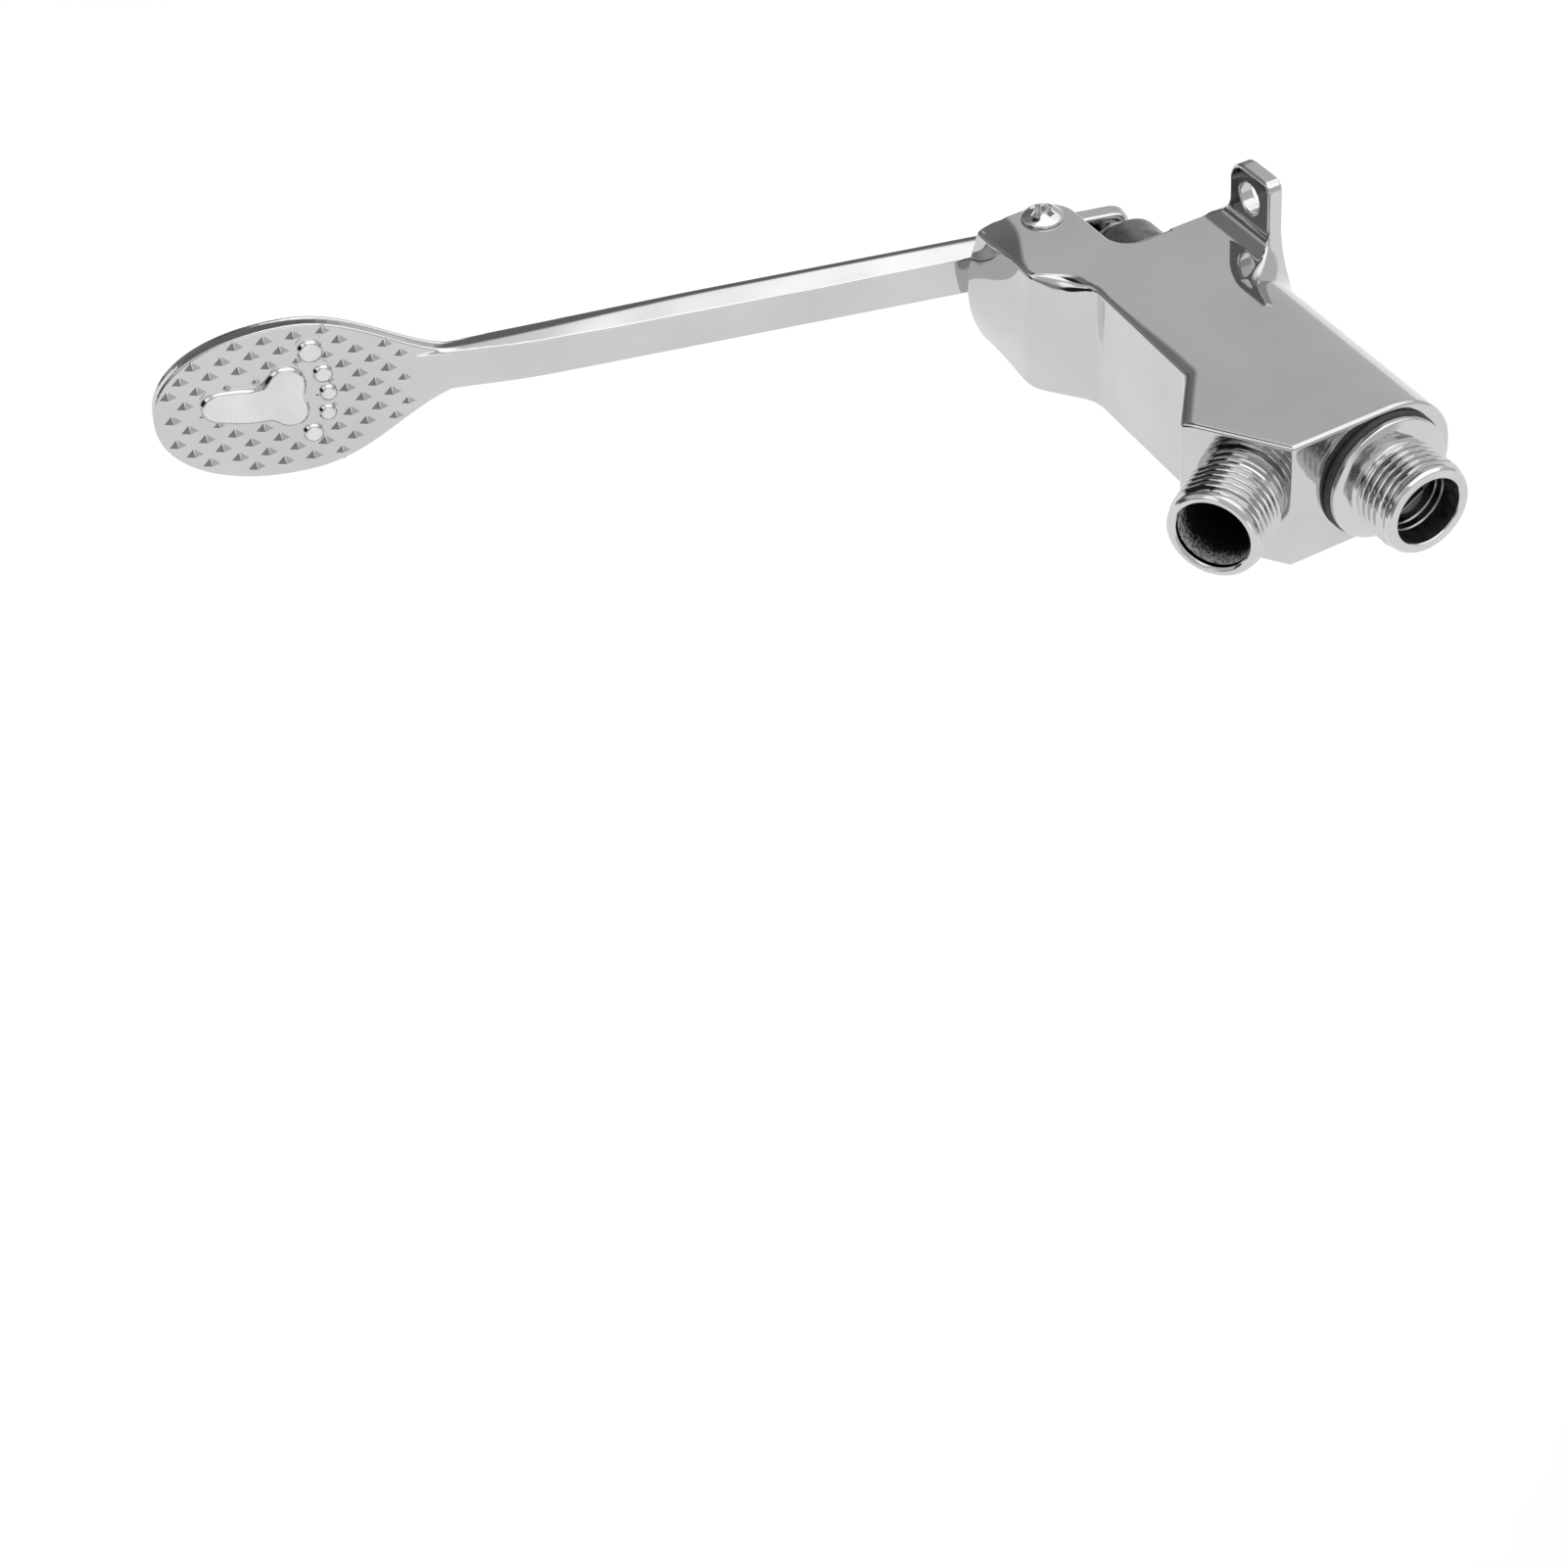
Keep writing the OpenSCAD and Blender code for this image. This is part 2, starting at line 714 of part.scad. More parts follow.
// Cup that holds the seal and carries the spring
module poppet_disc() {
    rim = 2;
    color("gold")
        on_valve()
            difference() {
                translate([0, 0, disc_z - rim]) cylinder(d = poppet_d, h = poppet_t + rim);
                translate([0, 0, disc_z - rim - cut]) cylinder(d = poppet_d - 1.2, h = rim + cut);
                translate([0, 0, disc_z - cut])
                    cylinder(d = neck_d + 2 * fit_clear, h = poppet_t + 2 * cut);
            }
}

module poppet_seal() {
    color("black")
        on_valve(seat_z)
            difference() {
                cylinder(d = poppet_d - 1.2 - 2 * fit_clear, h = seal_t);
                translate([0, 0, -cut]) cylinder(d = neck_d + 2 * fit_clear, h = seal_t + 2 * cut);
            }
}

module poppet_washer() {
    color("lightgray")
        on_valve(disc_top)
            difference() {
                cylinder(d = nut_af + 1.8, h = washer_t);
                translate([0, 0, -cut]) cylinder(d = neck_d + 2 * fit_clear, h = washer_t + 2 * cut);
            }
}

module poppet_nut() {
    color("gold")
        on_valve(disc_top + washer_t)
            difference() {
                cylinder(d = nut_af / cos(30), h = nut_h, $fn = 6);
                translate([0, 0, -cut]) cylinder(d = neck_d + 2 * fit_clear, h = nut_h + 2 * cut);
            }
}

// Hard tip with a rounded nose, pinned into the foot of the rod
module push_tip() {
    color("gray")
        on_valve() {
            intersection() {
                translate([0, 0, nose_z - nose_r]) cylinder(d = rod_d, h = rod_foot - nose_z + nose_r);
                translate([0, 0, nose_z]) sphere(nose_r);
            }
            translate([0, 0, rod_foot - cut]) cylinder(d = tip_pin_d, h = tip_pin_len + cut);
        }
}

// Half width of the lever at a distance s from the pivot: an oval tip, and a neck that flows into the bar
function tip_half(u) = pad_w / 2 * pow(max(0, 1 - pow(u, tip_power)), 1 / tip_power);
function neck_half(u) = mix(bar_w / 2, pad_w / 2, (1 + cos(180 * min(u, 1))) / 2);
function lever_half(s) =
    s > pad_reach ? tip_half((s - pad_reach) / pad_half) : neck_half((pad_reach - s) / neck_len);

// Places children in the lever's own coordinates: x along the bar, y to the side, z off the bar
module in_lever() {
    translate([pivot_x, 0, pivot_z])
        rotate([0, lever_tilt, 0]) children();
}

module pad_plan() {
    steps = 40;
    edge = [for (i = [0:steps]) mix(neck_s, pad_tip, sin(90 * i / steps))];
    polygon(concat(
        [for (s = edge) [s, -lever_half(s)]],
        [for (i = [steps - 1:-1:0]) [edge[i], lever_half(edge[i])]]
    ));
}

module tread_area() {
    steps = 24;
    edge = [for (i = [0:steps]) mix(tread_start, pad_tip - tread_rim, sin(90 * i / steps))];
    function inset(s) = max(lever_half(s) - tread_rim, 0.2);
    polygon(concat(
        [for (s = edge) [s, -inset(s)]],
        [for (i = [steps:-1:0]) [edge[i], inset(edge[i])]]
    ));
}

// Two crossing sets of V grooves, which leave rows of small pyramids
module tread_grooves() {
    land = 0.5;
    count = ceil(1.2 * pad_half / tread_pitch);
    half = (tread_pitch - land) / 2;
    intersection() {
        translate([0, 0, pad_top - tread_h - cut])
            linear_extrude(tread_h + 2 * cut) tread_area();
        for (turn = [-45, 45], i = [-count:count])
            translate([pad_reach, 0, pad_top])
                rotate([0, 0, turn])
                    translate([0, (i + 0.5) * tread_pitch, 0])
                        rotate([90, 0, 90])
                            linear_extrude(4 * pad_half, center = true)
                                polygon([[-half, 0.01], [half, 0.01], [0, -tread_h]]);
    }
}

// Half width of the sole: heel, waist and ball, with u from the heel to the ball
function sole_half(u) = sqrt(max(0, u * (1 - u))) * (8 + 8 * u * u * u) + 1.4 * sin(180 * u) * u;

// Raised footprint with its heel towards the pad's tip
module footprint() {
    sole_len = 23;
    heel_s = pad_reach + 19;
    steps = 24;
    toes = [[-6, -11.4, 3], [-8.6, -4.8, 2.3], [-8.8, -0.1, 1.9], [-7.4, 4.5, 1.9], [-4.4, 9, 2]];
    base = pad_top - tread_h;
    translate([0, 0, base])
        linear_extrude(tread_h + print_rise) {
            polygon(concat(
                [for (i = [0:steps]) [heel_s - sole_len * i / steps, -1.2 - sole_half(i / steps)]],
                [for (i = [steps - 1:-1:1]) [heel_s - sole_len * i / steps, -1.2 + sole_half(i / steps)]]
            ));
            for (toe = toes)
                translate([pad_reach + toe[0], toe[1]]) circle(toe[2]);
        }
}

module pedal_pad() {
    difference() {
        translate([0, 0, pad_under]) linear_extrude(pad_t) pad_plan();
        tread_grooves();
    }
    footprint();
}

// The bar tapers at its outer end to the thickness of the pad
module lever_bar() {
    root_s = 2;
    slab(bar_w)
        polygon([
            [root_s, bar_under], [neck_s, bar_under], [neck_s + 14, pad_under],
            [neck_s + 14, pad_top], [neck_s, bar_top], [root_s, bar_top]
        ]);
}

// Hub, the riser below it that rests on the fork's front wall, and the tail under the plunger
module lever_hub() {
    stop_x = slot_front - side_clear;
    stop_s = bar_top - 2;
    tail_end_r = tail_t / 2;
    slab(hub_w) {
        translate(lever_pivot) circle(d = hub_d);
        polygon([
            [pivot_x - hub_d / 2, pivot_z], [pivot_x, pivot_z - 1], [stop_x, pivot_z - 1],
            [stop_x, on_lever(0, stop_s)[1]], on_lever(0, stop_s), on_lever(-hub_d / 2 - 2, tail_top - 1)
        ]);
        polygon([
            on_lever(-tail_len + tail_end_r, tail_top), on_lever(-tail_len + tail_end_r, bar_under),
            on_lever(stop_x - pivot_x, bar_under), on_lever(stop_x - pivot_x, tail_top)
        ]);
        translate(on_lever(-tail_len + tail_end_r, tail_top - tail_end_r)) circle(tail_end_r);
    }
}

module pedal_lever() {
    color("silver")
        difference() {
            union() {
                lever_hub();
                in_lever() {
                    lever_bar();
                    pedal_pad();
                }
            }
            at_pivot()
                cylinder(d = sleeve_d + 2 * run_clear, h = slot_w + 2 * cut, center = true);
        }
}

valve_body();
inlet_adapter();
inlet_o_ring();
valve_seat();
gland_nut();
gland_o_ring();
gland_wiper();
retaining_ring();
pivot_screw();
pivot_sleeve();
return_spring();
plunger_stem();
lower_plunger_ring();
upper_plunger_ring();
poppet_disc();
poppet_seal();
poppet_washer();
poppet_nut();
push_tip();
pedal_lever();
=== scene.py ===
"""Looks of a foot pedal tap valve: chrome castings, turned threads, rubber seals, treaded pedal."""

import json
import math

import bpy
import numpy as np
import openvdb
from mathutils import Matrix, Vector


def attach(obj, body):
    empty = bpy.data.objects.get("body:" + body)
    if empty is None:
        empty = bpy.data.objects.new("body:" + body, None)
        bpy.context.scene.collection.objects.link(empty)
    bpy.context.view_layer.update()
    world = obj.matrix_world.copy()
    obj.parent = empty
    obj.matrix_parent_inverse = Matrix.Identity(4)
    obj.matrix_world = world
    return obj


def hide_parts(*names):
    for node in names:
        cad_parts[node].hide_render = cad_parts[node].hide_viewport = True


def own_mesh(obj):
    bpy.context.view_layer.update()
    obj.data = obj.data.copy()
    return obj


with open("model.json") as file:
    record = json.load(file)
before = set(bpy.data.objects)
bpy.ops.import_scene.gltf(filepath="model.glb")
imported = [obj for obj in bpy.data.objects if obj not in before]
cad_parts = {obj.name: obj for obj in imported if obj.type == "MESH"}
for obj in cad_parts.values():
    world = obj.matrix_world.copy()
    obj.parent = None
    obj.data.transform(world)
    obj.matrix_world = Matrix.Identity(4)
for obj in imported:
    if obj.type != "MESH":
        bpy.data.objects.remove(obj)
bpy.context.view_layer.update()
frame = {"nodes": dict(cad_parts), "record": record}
MM = 0.001

# Sizes in millimetres

# Body and outlet branch
HALF_W = 15.0
BACK_R = 15.0
BODY_TOP = 67.2
BODY_BOTTOM = -11.5
VALVE_X = 17.5
RECESS_FRONT = 42.4
OUTLET_TILT = math.radians(56)
OUTLET_CROSS_Z = 38.5
BRANCH_REACH = 34.1
BRANCH_HALF = 12.6
BRANCH_ROOT_Z = 33.6
OUTLET_STUB = 14.5
OUTLET_BORE_R = 7.9
OUTLET_BORE_DEPTH = 30.0
PORT_R = 4.5
PORT_DROP = 3.0
# Threads of both stubs
CREST_R = 20.955 / 2
THREAD_DEPTH = 1.162
THREAD_PITCH = 1.814
THREAD_CRESTS = 5
STUB_TIP = 1.9
THREAD_ROOT_R = CREST_R - THREAD_DEPTH
STUB_ROOT_R = THREAD_ROOT_R + 0.2
# Inlet adapter on its black ring
INLET_BORE_R = 7.6
INLET_MOUTH = BODY_TOP + 16.3
FLANGE_R = 13.9
FLANGE_UNDER = BODY_TOP + 1.5
FLANGE_T = 1.6
SEAL_RING_R = 13.3
SPIGOT_R = 9.5
SPIGOT_END = 59.2
DRIVE_AF = 12.0
DRIVE_FOOT = 67.7
DRIVE_TOP = 73.7
SPRING_BORE_R = 7.2
# Bores along the valve's axis
SEAT_WEB = (45.2, 47.7)
GLAND_TOP = 27.0
GLAND_R = 9.02
CHAMBER_R = 7.5
SEAT_HOLE_R = 6.22
SPRING_ROOM_R = 8.5
COLLAR_R = 9.6
# Wall plate and its ears
EAR_Y = 24.0
EAR_END = 30.6
EAR_HALF_H = 7.2
EAR_LOW_R = 4.6
EAR_HIGH_R = 2.2
PLATE_T = 3.5
WALL_HOLE_R = 3.6
# Fork and pivot screw
PIVOT_X = 35.8
PIVOT_Z = -30.7
FORK_BOTTOM = -36.0
FORK_BACK = 28.5
FORK_FRONT = 48.2
FORK_SWELL = 4.3
SLOT_HALF = 6.4
SLOT_FRONT = 44.6
SLOT_ROOF = -22.2
CREASE = (49.9, -14.2)
SHOULDER = (41.1, -2.3)
SCREW_R = 2.5
HEAD_R = 4.8
HEAD_H = 2.4
RIM_H = 0.4
# Hub, tail and bar of the lever
HUB_R = 6.5
HUB_HALF = 6.1
HUB_BORE_R = 4.05
LEVER_TILT = math.radians(16)
BAR_HALF = 4.5
BAR_TOP = -5.4
BAR_UNDER = -13.0
TAIL_TOP = -8.8
TAIL_LEN = 23.0
TAIL_ROUND = 4.5
BAR_NEAR_HALF = 5.3
BAR_FAR_HALF = 4.6
# Pad with its tread and footprint
PAD_REACH = 165.5
PAD_HALF = 29.3
PAD_TIP_POWER = 2.15
NECK_LEN = 40.0
NECK_POWER = 1.15
NECK_TUCK = 16.0
PAD_HALF_W = 19.0
PAD_TOP = -7.9
PAD_UNDER = -12.2
TREAD_PITCH = 4.44
TREAD_H = 0.62
TREAD_HALF = 2.0
TREAD_SUNK = 0.15
HIP_HALF = 0.12
TREAD_START = PAD_REACH - 0.62 * NECK_LEN
PRINT_RISE = 0.75
# Return spring
SPRING_R = 6.4
SPRING_WIRE_R = 0.5
SPRING_TURNS = 6
SPRING_FOOT = 54.02
SPRING_HEAD = 67.68

# The camera that took the photograph, found from the stubs, the body's edges and the pad
CAMERA_PLACE = Vector((0.41017, -0.48862, 0.57403))
CAMERA_RIGHT = Vector((-0.866275, 0.065199, 0.495295))
CAMERA_DOWN = Vector((0.372780, 0.744385, 0.554008))
CAMERA_AHEAD = Vector((-0.332569, 0.664560, -0.669147))
CAMERA_LENS = 89.95
CAMERA_SENSOR = 36


# Meshes from outlines and distance fields

SNAP_ROUNDS = 4
LEAST_STEEP = 0.25
SHARP_ANGLE = math.radians(40)


def rounded_outline(corners, steps=6):
    """Points of a closed outline whose corners (x, y, radius) are rounded off with arcs."""
    points = []
    for i, (x, y, radius) in enumerate(corners):
        here = np.array((x, y), float)
        back = np.array(corners[i - 1][:2]) - here
        ahead = np.array(corners[(i + 1) % len(corners)][:2]) - here
        if radius == 0:
            points.append(here)
            continue
        back /= np.linalg.norm(back)
        ahead /= np.linalg.norm(ahead)
        half = math.acos(np.clip(back @ ahead, -1, 1)) / 2
        middle = (back + ahead) / np.linalg.norm(back + ahead)
        centre = here + middle * radius / math.sin(half)
        start = here + back * radius / math.tan(half) - centre
        end = here + ahead * radius / math.tan(half) - centre
        for k in range(steps + 1):
            spoke = start + (end - start) * k / steps
            points.append(centre + spoke / np.linalg.norm(spoke) * radius)
    return np.array(points)


def outline_distance(x, y, outline):
    """Signed distance in the plane to a closed outline, negative inside."""
    nearest = np.inf
    inside = False
    for (ax, ay), (bx, by) in zip(outline, np.roll(outline, -1, axis=0)):
        ex, ey = bx - ax, by - ay
        px, py = x - ax, y - ay
        share = np.clip((px * ex + py * ey) / (ex * ex + ey * ey), 0, 1)
        nearest = np.minimum(nearest, (px - share * ex) ** 2 + (py - share * ey) ** 2)
        inside = inside ^ (((ay > y) != (by > y)) & (px < py * ex / (ey or 1.0)))
    return np.where(inside, -1, 1) * np.sqrt(nearest)


def round_and(a, b, radius):
    """Common part of two fields, with the edge between them rounded."""
    return (
        np.minimum(np.maximum(a, b) + radius, 0)
        + np.hypot(np.maximum(a + radius, 0), np.maximum(b + radius, 0))
        - radius
    )


def round_or(a, b, radius):
    """Both fields together, with a concave fillet of a true radius."""
    return np.maximum(np.minimum(a, b), radius) - np.hypot(
        np.maximum(radius - a, 0), np.maximum(radius - b, 0))


def soft_or(a, b, reach):
    """Both fields together, blended softly where they meet."""
    share = np.maximum(reach - np.abs(a - b), 0) / reach
    return np.minimum(a, b) - share * share * reach / 4


def between(value, low, high):
    """Field of the slab between two planes."""
    return np.abs(value - (low + high) / 2) - (high - low) / 2


def smooth_step(value, low, high):
    """Rises smoothly from 0 to 1 between two values."""
    share = np.clip((value - low) / (high - low), 0, 1)
    return share * share * (3 - 2 * share)


def slope_of(field, points, step=0.02):
    """Gradient of a field at points, by differences."""
    slope = np.empty_like(points)
    for axis in range(3):
        move = np.zeros(3)
        move[axis] = step
        slope[:, axis] = (field(*(points + move).T) - field(*(points - move).T)) / (2 * step)
    return slope


def field_mesh(field, low, high, step):
    """Points, quads and normals of the surface where a field is zero."""
    low = np.array(low, float)
    band = 3 * step
    x, y, z = np.ix_(*(np.arange(a, b + step, step) for a, b in zip(low, high)))
    values = np.clip(field(x, y, z), -band, band).astype(np.float32)
    grid = openvdb.FloatGrid(band)
    grid.copyFromArray(np.ascontiguousarray(values))
    points, quads = grid.convertToQuads(0.0)
    points = low + np.array(points, float) * step
    quads = np.array(quads, int)
    for _ in range(SNAP_ROUNDS):
        slope = slope_of(field, points)
        steepness = np.maximum((slope * slope).sum(1), LEAST_STEEP)
        move = np.clip(field(*points.T), -step / 2, step / 2) / steepness
        points = points - move[:, None] * slope
    normals = slope_of(field, points)
    normals /= np.maximum(np.linalg.norm(normals, axis=1, keepdims=True), 1e-6)
    a, b, c = (points[quads[:, k]] for k in range(3))
    if (np.cross(b - a, c - a) * normals[quads[:, 0]]).sum() < 0:
        quads = quads[:, ::-1]
    return points, quads, normals


def full_turn(count):
    """Angles of evenly spaced points round an axis."""
    return np.arange(count) * 2 * math.pi / count


def ring_mesh(rows, count):
    """Points and quads of a ring-shaped skin, from rows of (radius, height) round an axis."""
    turn = full_turn(count)
    points = np.concatenate([
        np.stack([r * np.cos(turn), r * np.sin(turn), h + 0 * turn], axis=1) for r, h in rows
    ])
    here = np.arange(len(rows))[:, None] * count
    after = np.roll(here, -1, axis=0)
    k = np.arange(count)[None, :]
    k_next = (k + 1) % count
    quads = np.stack([here + k, here + k_next, after + k_next, after + k], axis=-1).reshape(-1, 4)
    return points, quads


def add_piece(name, points, faces, body, material, normals=None, place=None):
    """A named piece from points in millimetres, riding on a body."""
    mesh = bpy.data.meshes.new(name)
    mesh.from_pydata((np.asarray(points) * MM).tolist(), [], [list(face) for face in faces])
    if place is not None:
        mesh.transform(place)
    mesh.polygons.foreach_set("use_smooth", np.ones(len(mesh.polygons), bool))
    if normals is not None and len(normals) == len(mesh.loops):
        mesh.normals_split_custom_set(np.asarray(normals).tolist())
    elif normals is not None:
        mesh.normals_split_custom_set_from_vertices(np.asarray(normals).tolist())
    else:
        mesh.set_sharp_from_angle(angle=SHARP_ANGLE)
    mesh.materials.append(material)
    piece = bpy.data.objects.new(name, mesh)
    bpy.context.scene.collection.objects.link(piece)
    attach(piece, body)
    return piece


# Materials

class Paint:
    """A node material with helpers for the textures that all finishes share."""

    def __init__(self, name, **sockets):
        self.material = bpy.data.materials.new(name)
        self.material.use_nodes = True
        self.nodes = self.material.node_tree.nodes
        self.links = self.material.node_tree.links
        self.shader = self.nodes["Principled BSDF"]
        for socket, value in sockets.items():
            self.shader.inputs[socket.replace("_", " ")].default_value = value
        self.place = self.nodes.new("ShaderNodeTexCoord").outputs["Object"]

    def noise(self, scale, detail=3.0, stretch=(1, 1, 1)):
        """Soft noise in the piece's own space."""
        mapping = self.nodes.new("ShaderNodeMapping")
        mapping.inputs["Scale"].default_value = stretch
        self.links.new(self.place, mapping.inputs["Vector"])
        texture = self.nodes.new("ShaderNodeTexNoise")
        texture.inputs["Scale"].default_value = scale
        texture.inputs["Detail"].default_value = detail
        self.links.new(mapping.outputs["Vector"], texture.inputs["Vector"])
        return texture.outputs["Fac"]

    def along(self, axis, start, stop):
        """A value that rises from 0 to 1 between two distances along a direction, in metres."""
        dot = self.nodes.new("ShaderNodeVectorMath")
        dot.operation = "DOT_PRODUCT"
        dot.inputs[1].default_value = axis
        self.links.new(self.place, dot.inputs[0])
        rise = self.nodes.new("ShaderNodeMapRange")
        rise.inputs["From Min"].default_value = start
        rise.inputs["From Max"].default_value = stop
        self.links.new(dot.outputs["Value"], rise.inputs["Value"])
        return rise.outputs["Result"]

    def product(self, first, second):
        """Two textures multiplied."""
        times = self.nodes.new("ShaderNodeMath")
        times.operation = "MULTIPLY"
        self.links.new(first, times.inputs[0])
        self.links.new(second, times.inputs[1])
        return times.outputs["Value"]

    def spread(self, source, low, high, target, start=0.3, stop=0.7):
        """Sends a texture to a socket as a value between low and high."""
        spread = self.nodes.new("ShaderNodeMapRange")
        spread.inputs["From Min"].default_value = start
        spread.inputs["From Max"].default_value = stop
        spread.inputs["To Min"].default_value = low
        spread.inputs["To Max"].default_value = high
        self.links.new(source, spread.inputs["Value"])
        self.links.new(spread.outputs["Result"], self.shader.inputs[target])

    def tint(self, source, dark, light, start=0.3, stop=0.7):
        """Base colour that a texture moves between two tones."""
        ramp = self.nodes.new("ShaderNodeValToRGB")
        ramp.color_ramp.elements[0].position = start
        ramp.color_ramp.elements[0].color = (*dark, 1)
        ramp.color_ramp.elements[1].position = stop
        ramp.color_ramp.elements[1].color = (*light, 1)
        self.links.new(source, ramp.inputs["Fac"])
        self.links.new(ramp.outputs["Color"], self.shader.inputs["Base Color"])

    def bump(self, source, strength, depth):
        """Raised and sunken grain, depth in millimetres; later calls add to earlier ones."""
        bump = self.nodes.new("ShaderNodeBump")
        bump.inputs["Strength"].default_value = strength
        bump.inputs["Distance"].default_value = depth * MM
        self.links.new(source, bump.inputs["Height"])
        normal = self.shader.inputs["Normal"]
        if normal.links:
            self.links.new(normal.links[0].from_socket, bump.inputs["Normal"])
        self.links.new(bump.outputs["Normal"], normal)


def cast_chrome():
    paint = Paint("cast_chrome", Metallic=1.0)
    paint.tint(paint.noise(55), (0.54, 0.54, 0.54), (0.58, 0.58, 0.58))
    paint.spread(paint.noise(140), 0.03, 0.075, "Roughness")
    paint.bump(paint.noise(70, 1.0), 0.25, 0.05)
    paint.bump(paint.noise(2600), 0.05, 0.01)
    return paint.material


def rubbed_chrome_painted_sheen():
    paint = Paint("rubbed_chrome_painted_sheen", Metallic=1.0)
    # Painted sheen: a lighter base colour than the cast chrome makes the footprint's top read
    # brighter; the higher roughness is the rubbed dullness
    paint.tint(paint.noise(160), (0.63, 0.63, 0.63), (0.72, 0.72, 0.72))
    paint.spread(paint.noise(300), 0.14, 0.22, "Roughness")
    paint.bump(paint.noise(300, 2.0), 0.15, 0.03)
    return paint.material


def turned_chrome():
    paint = Paint("turned_chrome", Metallic=1.0)
    paint.tint(paint.noise(90), (0.56, 0.56, 0.56), (0.61, 0.61, 0.61))
    paint.spread(paint.noise(400, 2.0, (1, 1, 8)), 0.03, 0.1, "Roughness")
    paint.bump(paint.noise(160, 2.0), 0.2, 0.03)
    return paint.material


def rough_bore():
    """As-cast metal with its grain, and painted shade: bright near the mouth of the outlet and black
    further in.
    """
    paint = Paint("rough_bore", Metallic=0.35)
    grain = paint.noise(1700, 5.0)
    # Painted shade: the base colour darkens deeper in the bore, where real shade falls; the grain is
    # the cast surface's own
    depth = paint.along((OUTLET_AXIS[0], 0, OUTLET_AXIS[1]), OUTLET_BORE_FULL_SHADE, OUTLET_BORE_UNSHADED)
    paint.tint(paint.product(grain, depth), (0.015, 0.015, 0.015), (0.8, 0.8, 0.8), 0.3, 0.62)
    paint.spread(paint.noise(900), 0.3, 0.55, "Roughness")
    paint.bump(paint.noise(1300, 5.0), 1.0, 0.4)
    return paint.material


def smooth_bore():
    paint = Paint("smooth_bore", Metallic=1.0)
    paint.tint(paint.noise(200), (0.26, 0.26, 0.26), (0.36, 0.36, 0.36))
    paint.spread(paint.noise(300), 0.2, 0.28, "Roughness")
    return paint.material


def black_rubber():
    paint = Paint("black_rubber")
    paint.tint(paint.noise(500), (0.012, 0.012, 0.012), (0.03, 0.03, 0.03))
    paint.spread(paint.noise(800), 0.4, 0.6, "Roughness")
    paint.bump(paint.noise(2500), 0.2, 0.03)
    return paint.material


def dull_nickel():
    paint = Paint("dull_nickel", Metallic=1.0)
    paint.tint(paint.noise(260, 6.0), (0.1, 0.1, 0.1), (0.32, 0.32, 0.32))
    paint.spread(paint.noise(500), 0.25, 0.42, "Roughness")
    paint.bump(paint.noise(900, 4.0), 0.3, 0.06)
    return paint.material


def bright_steel():
    paint = Paint("bright_steel", Metallic=1.0)
    paint.tint(paint.noise(300), (0.56, 0.56, 0.565), (0.66, 0.66, 0.665))
    paint.spread(paint.noise(900), 0.08, 0.2, "Roughness")
    paint.bump(paint.noise(1500), 0.12, 0.02)
    return paint.material


def spring_steel():
    paint = Paint("spring_steel", Metallic=1.0)
    paint.tint(paint.noise(600), (0.36, 0.36, 0.37), (0.5, 0.5, 0.51))
    paint.spread(paint.noise(1200), 0.18, 0.32, "Roughness")
    paint.bump(paint.noise(2500), 0.15, 0.02)
    return paint.material


def dark_spring_steel():
    paint = Paint("dark_spring_steel", Metallic=1.0)
    paint.tint(paint.noise(500), (0.05, 0.05, 0.052), (0.11, 0.11, 0.115))
    paint.spread(paint.noise(900), 0.3, 0.5, "Roughness")
    paint.bump(paint.noise(1800), 0.2, 0.02)
    return paint.material


def plain_brass():
    paint = Paint("plain_brass", Metallic=1.0)
    paint.tint(paint.noise(200), (0.55, 0.38, 0.14), (0.74, 0.55, 0.25))
    paint.spread(paint.noise(500, 2.0, (1, 1, 10)), 0.16, 0.34, "Roughness")
    paint.bump(paint.noise(900, 2.0, (0.05, 0.05, 4)), 0.15, 0.02)
    return paint.material


OUTLET_AXIS = np.array((math.sin(OUTLET_TILT), math.cos(OUTLET_TILT)))
OUTLET_MOUTH = BRANCH_REACH + OUTLET_STUB + OUTLET_AXIS @ (VALVE_X, OUTLET_CROSS_Z)
# Along the outlet, in metres, painted shade darkens the rough bore from bright to black between
# these
OUTLET_BORE_UNSHADED = (OUTLET_MOUTH - 2.5) * MM
OUTLET_BORE_FULL_SHADE = (OUTLET_MOUTH - 10.5) * MM
FINISHES = {
    "chrome_casting": cast_chrome(),
    "chrome_turned": turned_chrome(),
    "black_rubber": black_rubber(),
    "dull_nickel": dull_nickel(),
    "bright_steel": bright_steel(),
    "spring_steel": spring_steel(),
    "dark_spring_steel": dark_spring_steel(),
    "plain_brass": plain_brass(),
}
ROUGH_BORE = rough_bore()
SMOOTH_BORE = smooth_bore()
RUBBED_SHEEN_CHROME = rubbed_chrome_painted_sheen()


# The cast body

OUTLET_ACROSS = np.array((-OUTLET_AXIS[1], OUTLET_AXIS[0]))
BRANCH_MID = np.array((VALVE_X, OUTLET_CROSS_Z)) + BRANCH_REACH * OUTLET_AXIS
BRANCH_LOWER = BRANCH_MID - BRANCH_HALF * OUTLET_ACROSS
BRANCH_UPPER = BRANCH_MID + (BODY_TOP - BRANCH_MID[1]) / OUTLET_ACROSS[1] * OUTLET_ACROSS


